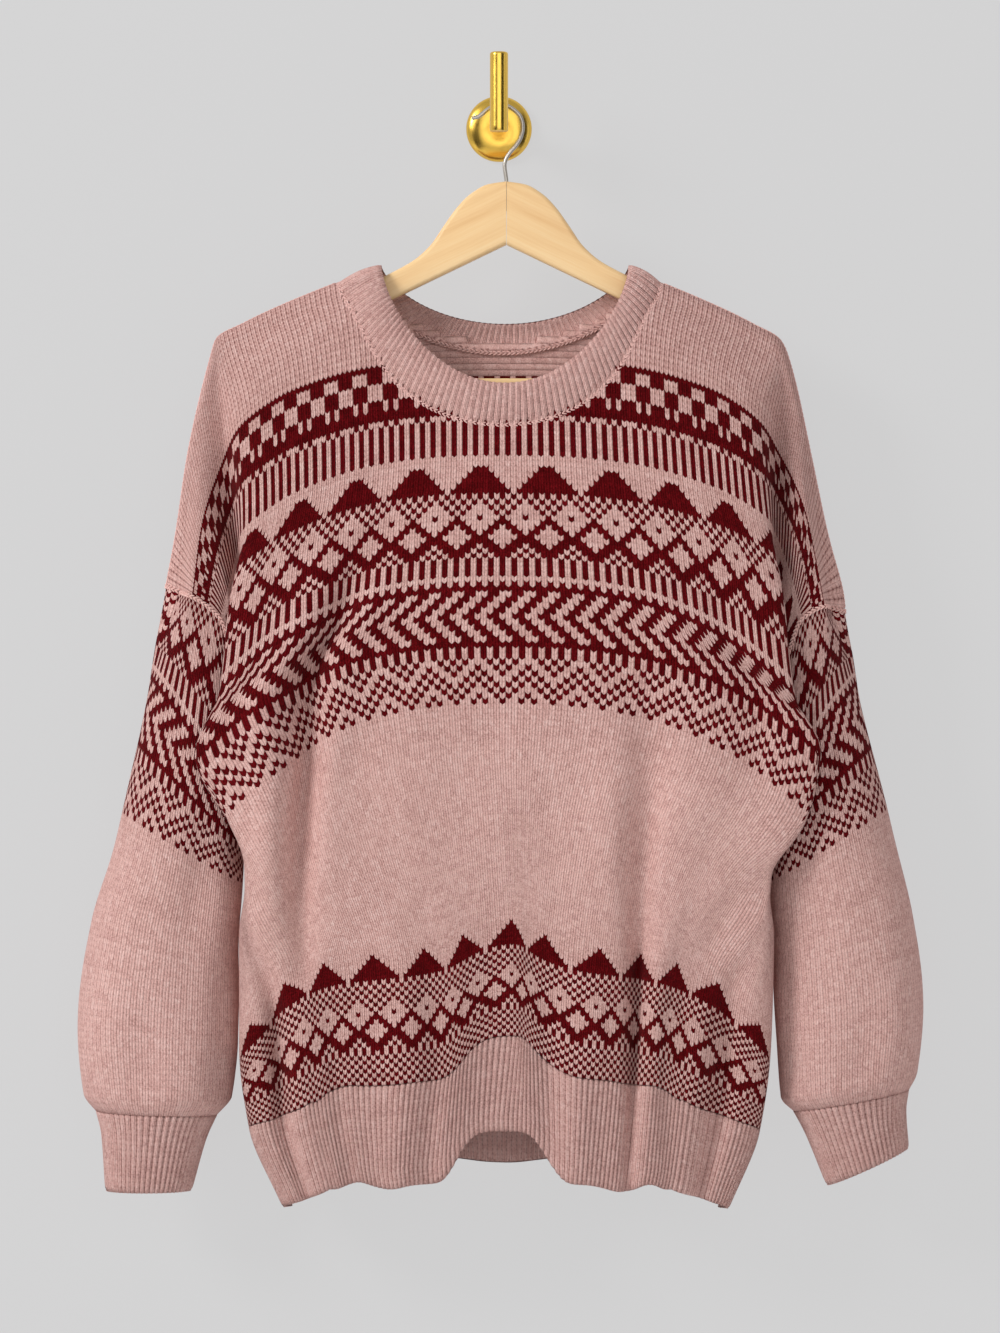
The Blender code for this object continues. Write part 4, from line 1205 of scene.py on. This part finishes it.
def waxed_wood(name, along_bar):
    """Pale straight-grained wood, its grain along each arm or along the bar."""
    material, tree, shader = blank_material(name)
    place = node(tree, "ShaderNodeTexCoord", {}, {})["Object"]
    split = node(tree, "ShaderNodeSeparateXYZ", {}, {"Vector": place})
    out = node(tree, "ShaderNodeMath", {"operation": "ABSOLUTE"}, {0: split["X"] - HANGER_X * MM})["Value"]
    across = split["Z"] if along_bar else split["Z"] + out * ARM_SLOPE
    grain_place = node(tree, "ShaderNodeCombineXYZ", {}, {"X": out * 14, "Y": split["Y"] * 320,
                                                          "Z": across * 320})["Vector"]
    grain = noise(tree, grain_place, 1.0, 4.0, 0.6)
    bands_place = node(tree, "ShaderNodeCombineXYZ", {}, {"X": out * 3, "Y": split["Y"] * 60,
                                                          "Z": across * 60})["Vector"]
    bands = noise(tree, bands_place, 1.0, 2.0)
    tone = (grain - 0.5) * 0.9 + (bands - 0.5) * 0.7 + 0.5
    colour = three_tones(tree, tone, WOOD_TONES, 0.15)
    tree.links.new(colour.link, shader.inputs["Base Color"])
    raise_surface(tree, shader, 0.12, 0.0004, grain)
    tree.links.new((grain * 0.12 + 0.36).link, shader.inputs["Roughness"])
    shader.inputs["Coat Weight"].default_value = 0.12
    return material


def add_piece(name, shape, material, angle):
    """A finished bmesh as an object, smooth but for edges sharper than the angle."""
    mesh = bpy.data.meshes.new(name)
    bmesh.ops.recalc_face_normals(shape, faces=shape.faces)
    shape.to_mesh(mesh)
    shape.free()
    mesh.shade_smooth()
    mesh.set_sharp_from_angle(angle=math.radians(angle))
    mesh.materials.append(material)
    return link_object(name, mesh)


def arm_outline():
    """An arm from the front, outwards from the mitre: over the bell, down to the end and back under."""
    top = columns(ARM_TOP)
    bell = np.linspace(0, top["along"][-1], 48)
    outline = list(zip(bell, read_column(top["along"], top["height"], bell)))
    end_top = top["height"][-1] - ARM_SLOPE * (ARM_LENGTH - top["along"][-1])
    foot = BAR_Z - FOOT_DROP / 2
    middle, half = (end_top + foot) / 2, (end_top - foot) / 2
    outline += [(ARM_LENGTH - ARM_ROUND * (1 - math.sin(a)), middle + half * math.cos(a))
                for a in np.linspace(math.radians(20), math.radians(160), 16)]
    outline.append((ARM_LENGTH - FOOT_BACK, foot))
    outline.append((ARM_LENGTH - FOOT_BACK - 4, UNDER_APEX_Z - ARM_SLOPE * (ARM_LENGTH - FOOT_BACK - 4)))
    outline.append((0, UNDER_APEX_Z))
    return outline


arm_wood = waxed_wood("arm_wood", False)
bar_wood = waxed_wood("bar_wood", True)
for name, side in (("hanger_arm_left", -1), ("hanger_arm_right", 1)):
    shape = bmesh.new()
    loop = [shape.verts.new(Vector((HANGER_X + side * (along + MITRE_GAP / 2),
                                    HANG_Y - ARM_THICK / 2, height)) * MM)
            for along, height in arm_outline()]
    grown = bmesh.ops.extrude_face_region(shape, geom=[shape.faces.new(loop)])
    bmesh.ops.translate(shape, verts=[v for v in grown["geom"] if isinstance(v, bmesh.types.BMVert)],
                        vec=(0, ARM_THICK * MM, 0))
    rim = [e for e in shape.edges if abs(e.verts[0].co.y - e.verts[1].co.y) < 1e-6
           and max(abs(v.co.x - HANGER_X * MM) for v in e.verts) > MM]
    bmesh.ops.bevel(shape, geom=rim, offset=ARM_EDGE * MM, segments=5, profile=0.5, affect="EDGES")
    arm = add_piece("wood_" + name, shape, arm_wood, 40)
    fit(arm, name)

shape = bmesh.new()
bmesh.ops.create_cone(shape, cap_ends=True, segments=40, radius1=BAR_RADIUS * MM, radius2=BAR_RADIUS * MM,
                      depth=2 * (ARM_LENGTH - FOOT_BACK + BAR_HOLE) * MM)
for vert in shape.verts:
    vert.co = Vector((vert.co.z + HANGER_X * MM, vert.co.x + HANG_Y * MM, vert.co.y + BAR_Z * MM))
bar = add_piece("wood_bar", shape, bar_wood, 40)
fit(bar, "hanger_bar")


# ---- Hanger's hook ---------------------------------------------------------------------------
# Bright steel wire bent over the brass peg, its straight end set down into the wood.
WIRE_RADIUS = 1.5
WIRE_DEPTH = 22.0
ARM_TOP_Z = -46.0
WIRE_PATH = """
x      z
4.6   -38.0
4.2   -33.5
5.4   -28.8
8.3   -24.1
13.0  -18.6
16.6  -12.0
17.9   -5.0
16.4    2.0
11.6    7.6
5.6    11.0
-1.0   11.8
-8.0    8.6
-12.4   5.0
-16.0   2.6
-20.4   1.6
"""


def sweep(path, radii, sides):
    """A round rod along a path in one plane of x or y, with its own radius at each point."""
    path = np.asarray(path, float)
    tangent = np.gradient(path, axis=0)
    tangent /= np.linalg.norm(tangent, axis=1)[:, None]
    across = np.array([0.0, 1.0, 0.0]) if np.ptp(path[:, 1]) < 1e-6 else np.array([1.0, 0.0, 0.0])
    beside = np.cross(tangent, across)
    angle = np.arange(sides) / sides * 2 * math.pi
    points = (path[:, None] + np.asarray(radii)[:, None, None]
              * (np.cos(angle)[None, :, None] * across + np.sin(angle)[None, :, None] * beside[:, None]))
    shape = bmesh.new()
    verts = [[shape.verts.new(Vector(p) * MM) for p in loop] for loop in points]
    for lower, upper in zip(verts[:-1], verts[1:]):
        for i in range(sides):
            j = (i + 1) % sides
            shape.faces.new((lower[i], lower[j], upper[j], upper[i]))
    shape.faces.new(verts[0][::-1])
    shape.faces.new(verts[-1])
    return shape


def metal(name, base, roughness, grain_strength):
    """Polished metal with a very fine turned grain round the axis of the wall hook."""
    material, tree, shader = blank_material(name)
    place = node(tree, "ShaderNodeTexCoord", {}, {})["Object"]
    split = node(tree, "ShaderNodeSeparateXYZ", {}, {"Vector": place})
    radius = (split["X"] * split["X"] + split["Z"] * split["Z"]) ** 0.5
    turned = node(tree, "ShaderNodeCombineXYZ", {}, {"X": radius * 2600, "Y": split["Y"] * 2600, "Z": 0.0})
    lines = noise(tree, turned["Vector"], 1.0, 2.0)
    worn = noise(tree, place, 90.0, 3.0) * 0.16 + (lines - 0.5) * 0.06 + (roughness - 0.08)
    tree.links.new(worn.link, shader.inputs["Roughness"])
    raise_surface(tree, shader, grain_strength, 0.0002, lines)
    shader.inputs["Base Color"].default_value = (*base, 1)
    shader.inputs["Metallic"].default_value = 1.0
    return material


rows = columns(WIRE_PATH)
knots = np.array([(HANGER_X, ARM_TOP_Z - WIRE_DEPTH), (HANGER_X, ARM_TOP_Z)]
                 + list(zip(rows["x"], rows["z"])))
reach = np.concatenate([[0], np.cumsum(np.linalg.norm(np.diff(knots, axis=0), axis=1))])
places = np.linspace(0, reach[-1], 140)
wire_x, wire_z = (read_column(reach, knots[:, i], places) for i in range(2))
shape = sweep(np.stack([wire_x, np.full(140, HANG_Y), wire_z], axis=1), np.full(140, WIRE_RADIUS), 16)
wire = add_piece("steel_hook", shape, metal("steel", (0.50, 0.46, 0.41), 0.34, 0.01), 50)
fit(wire, "hanger_hook")


# ---- Wall hook -------------------------------------------------------------------------------
# A round domed plate of satin brass screwed to the wall and a brass rod standing out from its middle,
# bent straight up at its end.
ROSETTE_RADIUS = 25.0
ROSETTE_RIM = 2.2
ROSETTE_DOME = 7.5
PEG_RADIUS = 6.8
PEG_Y = -75.0
PEG_TOP = 49.0
PEG_FOOT = -10.2
PEG_ROUND = 1.6
STEM_RADIUS = 6.4
PEG_STEM_RISE = 3.2
CLEAR = 0.35

brass = metal("brass", (0.90, 0.575, 0.105), 0.24, 0.02)
profile = [(0, 0), (ROSETTE_RADIUS - 0.6, 0), (ROSETTE_RADIUS, 0.6), (ROSETTE_RADIUS, ROSETTE_RIM - 0.5),
           (ROSETTE_RADIUS - 0.4, ROSETTE_RIM)]
flat = PEG_RADIUS + 1.2
for a in np.linspace(0.08, 1, 22):
    height = ROSETTE_RIM + ROSETTE_DOME * math.sin(a * math.pi / 2)
    profile.append((flat + (ROSETTE_RADIUS - flat) * math.cos(a * math.pi / 2), height))
profile.append((0, ROSETTE_RIM + ROSETTE_DOME))
shape = bmesh.new()
verts = [shape.verts.new((radius * MM, -height * MM, 0)) for radius, height in profile]
edges = [shape.edges.new(pair) for pair in zip(verts[:-1], verts[1:])]
bmesh.ops.spin(shape, geom=edges, cent=(0, 0, 0), axis=(0, 1, 0), angle=2 * math.pi, steps=120)
bmesh.ops.remove_doubles(shape, verts=shape.verts, dist=1e-6)
plate = add_piece("brass_plate", shape, brass, 40)
fit(plate, "wall_rosette")

stem_start = ROSETTE_RIM + ROSETTE_DOME + CLEAR
stem = [(0.0, -y, PEG_STEM_RISE * (y / PEG_Y) ** 2) for y in np.linspace(stem_start, -PEG_Y, 14)]
shape = sweep(stem, np.full(14, STEM_RADIUS), 40)
outline = [(PEG_FOOT, 0.7), (PEG_FOOT + 0.15, 0.25), (PEG_FOOT + 0.7, 0.0)]
outline += [(z, 0.0) for z in np.linspace(PEG_FOOT + 4, PEG_TOP - PEG_ROUND - 1, 8)]
outline += [(PEG_TOP - PEG_ROUND * (1 - math.sin(a)), PEG_ROUND * (1 - math.cos(a)))
            for a in np.radians([0, 25, 50, 70, 85])]
bar_shape = sweep([(0.0, PEG_Y, z) for z, _ in outline], [PEG_RADIUS - inset for _, inset in outline], 56)
upright = bpy.data.meshes.new("upright")
bar_shape.to_mesh(upright)
bar_shape.free()
shape.from_mesh(upright)
peg = add_piece("brass_peg", shape, brass, 40)
fit(peg, "wall_peg")
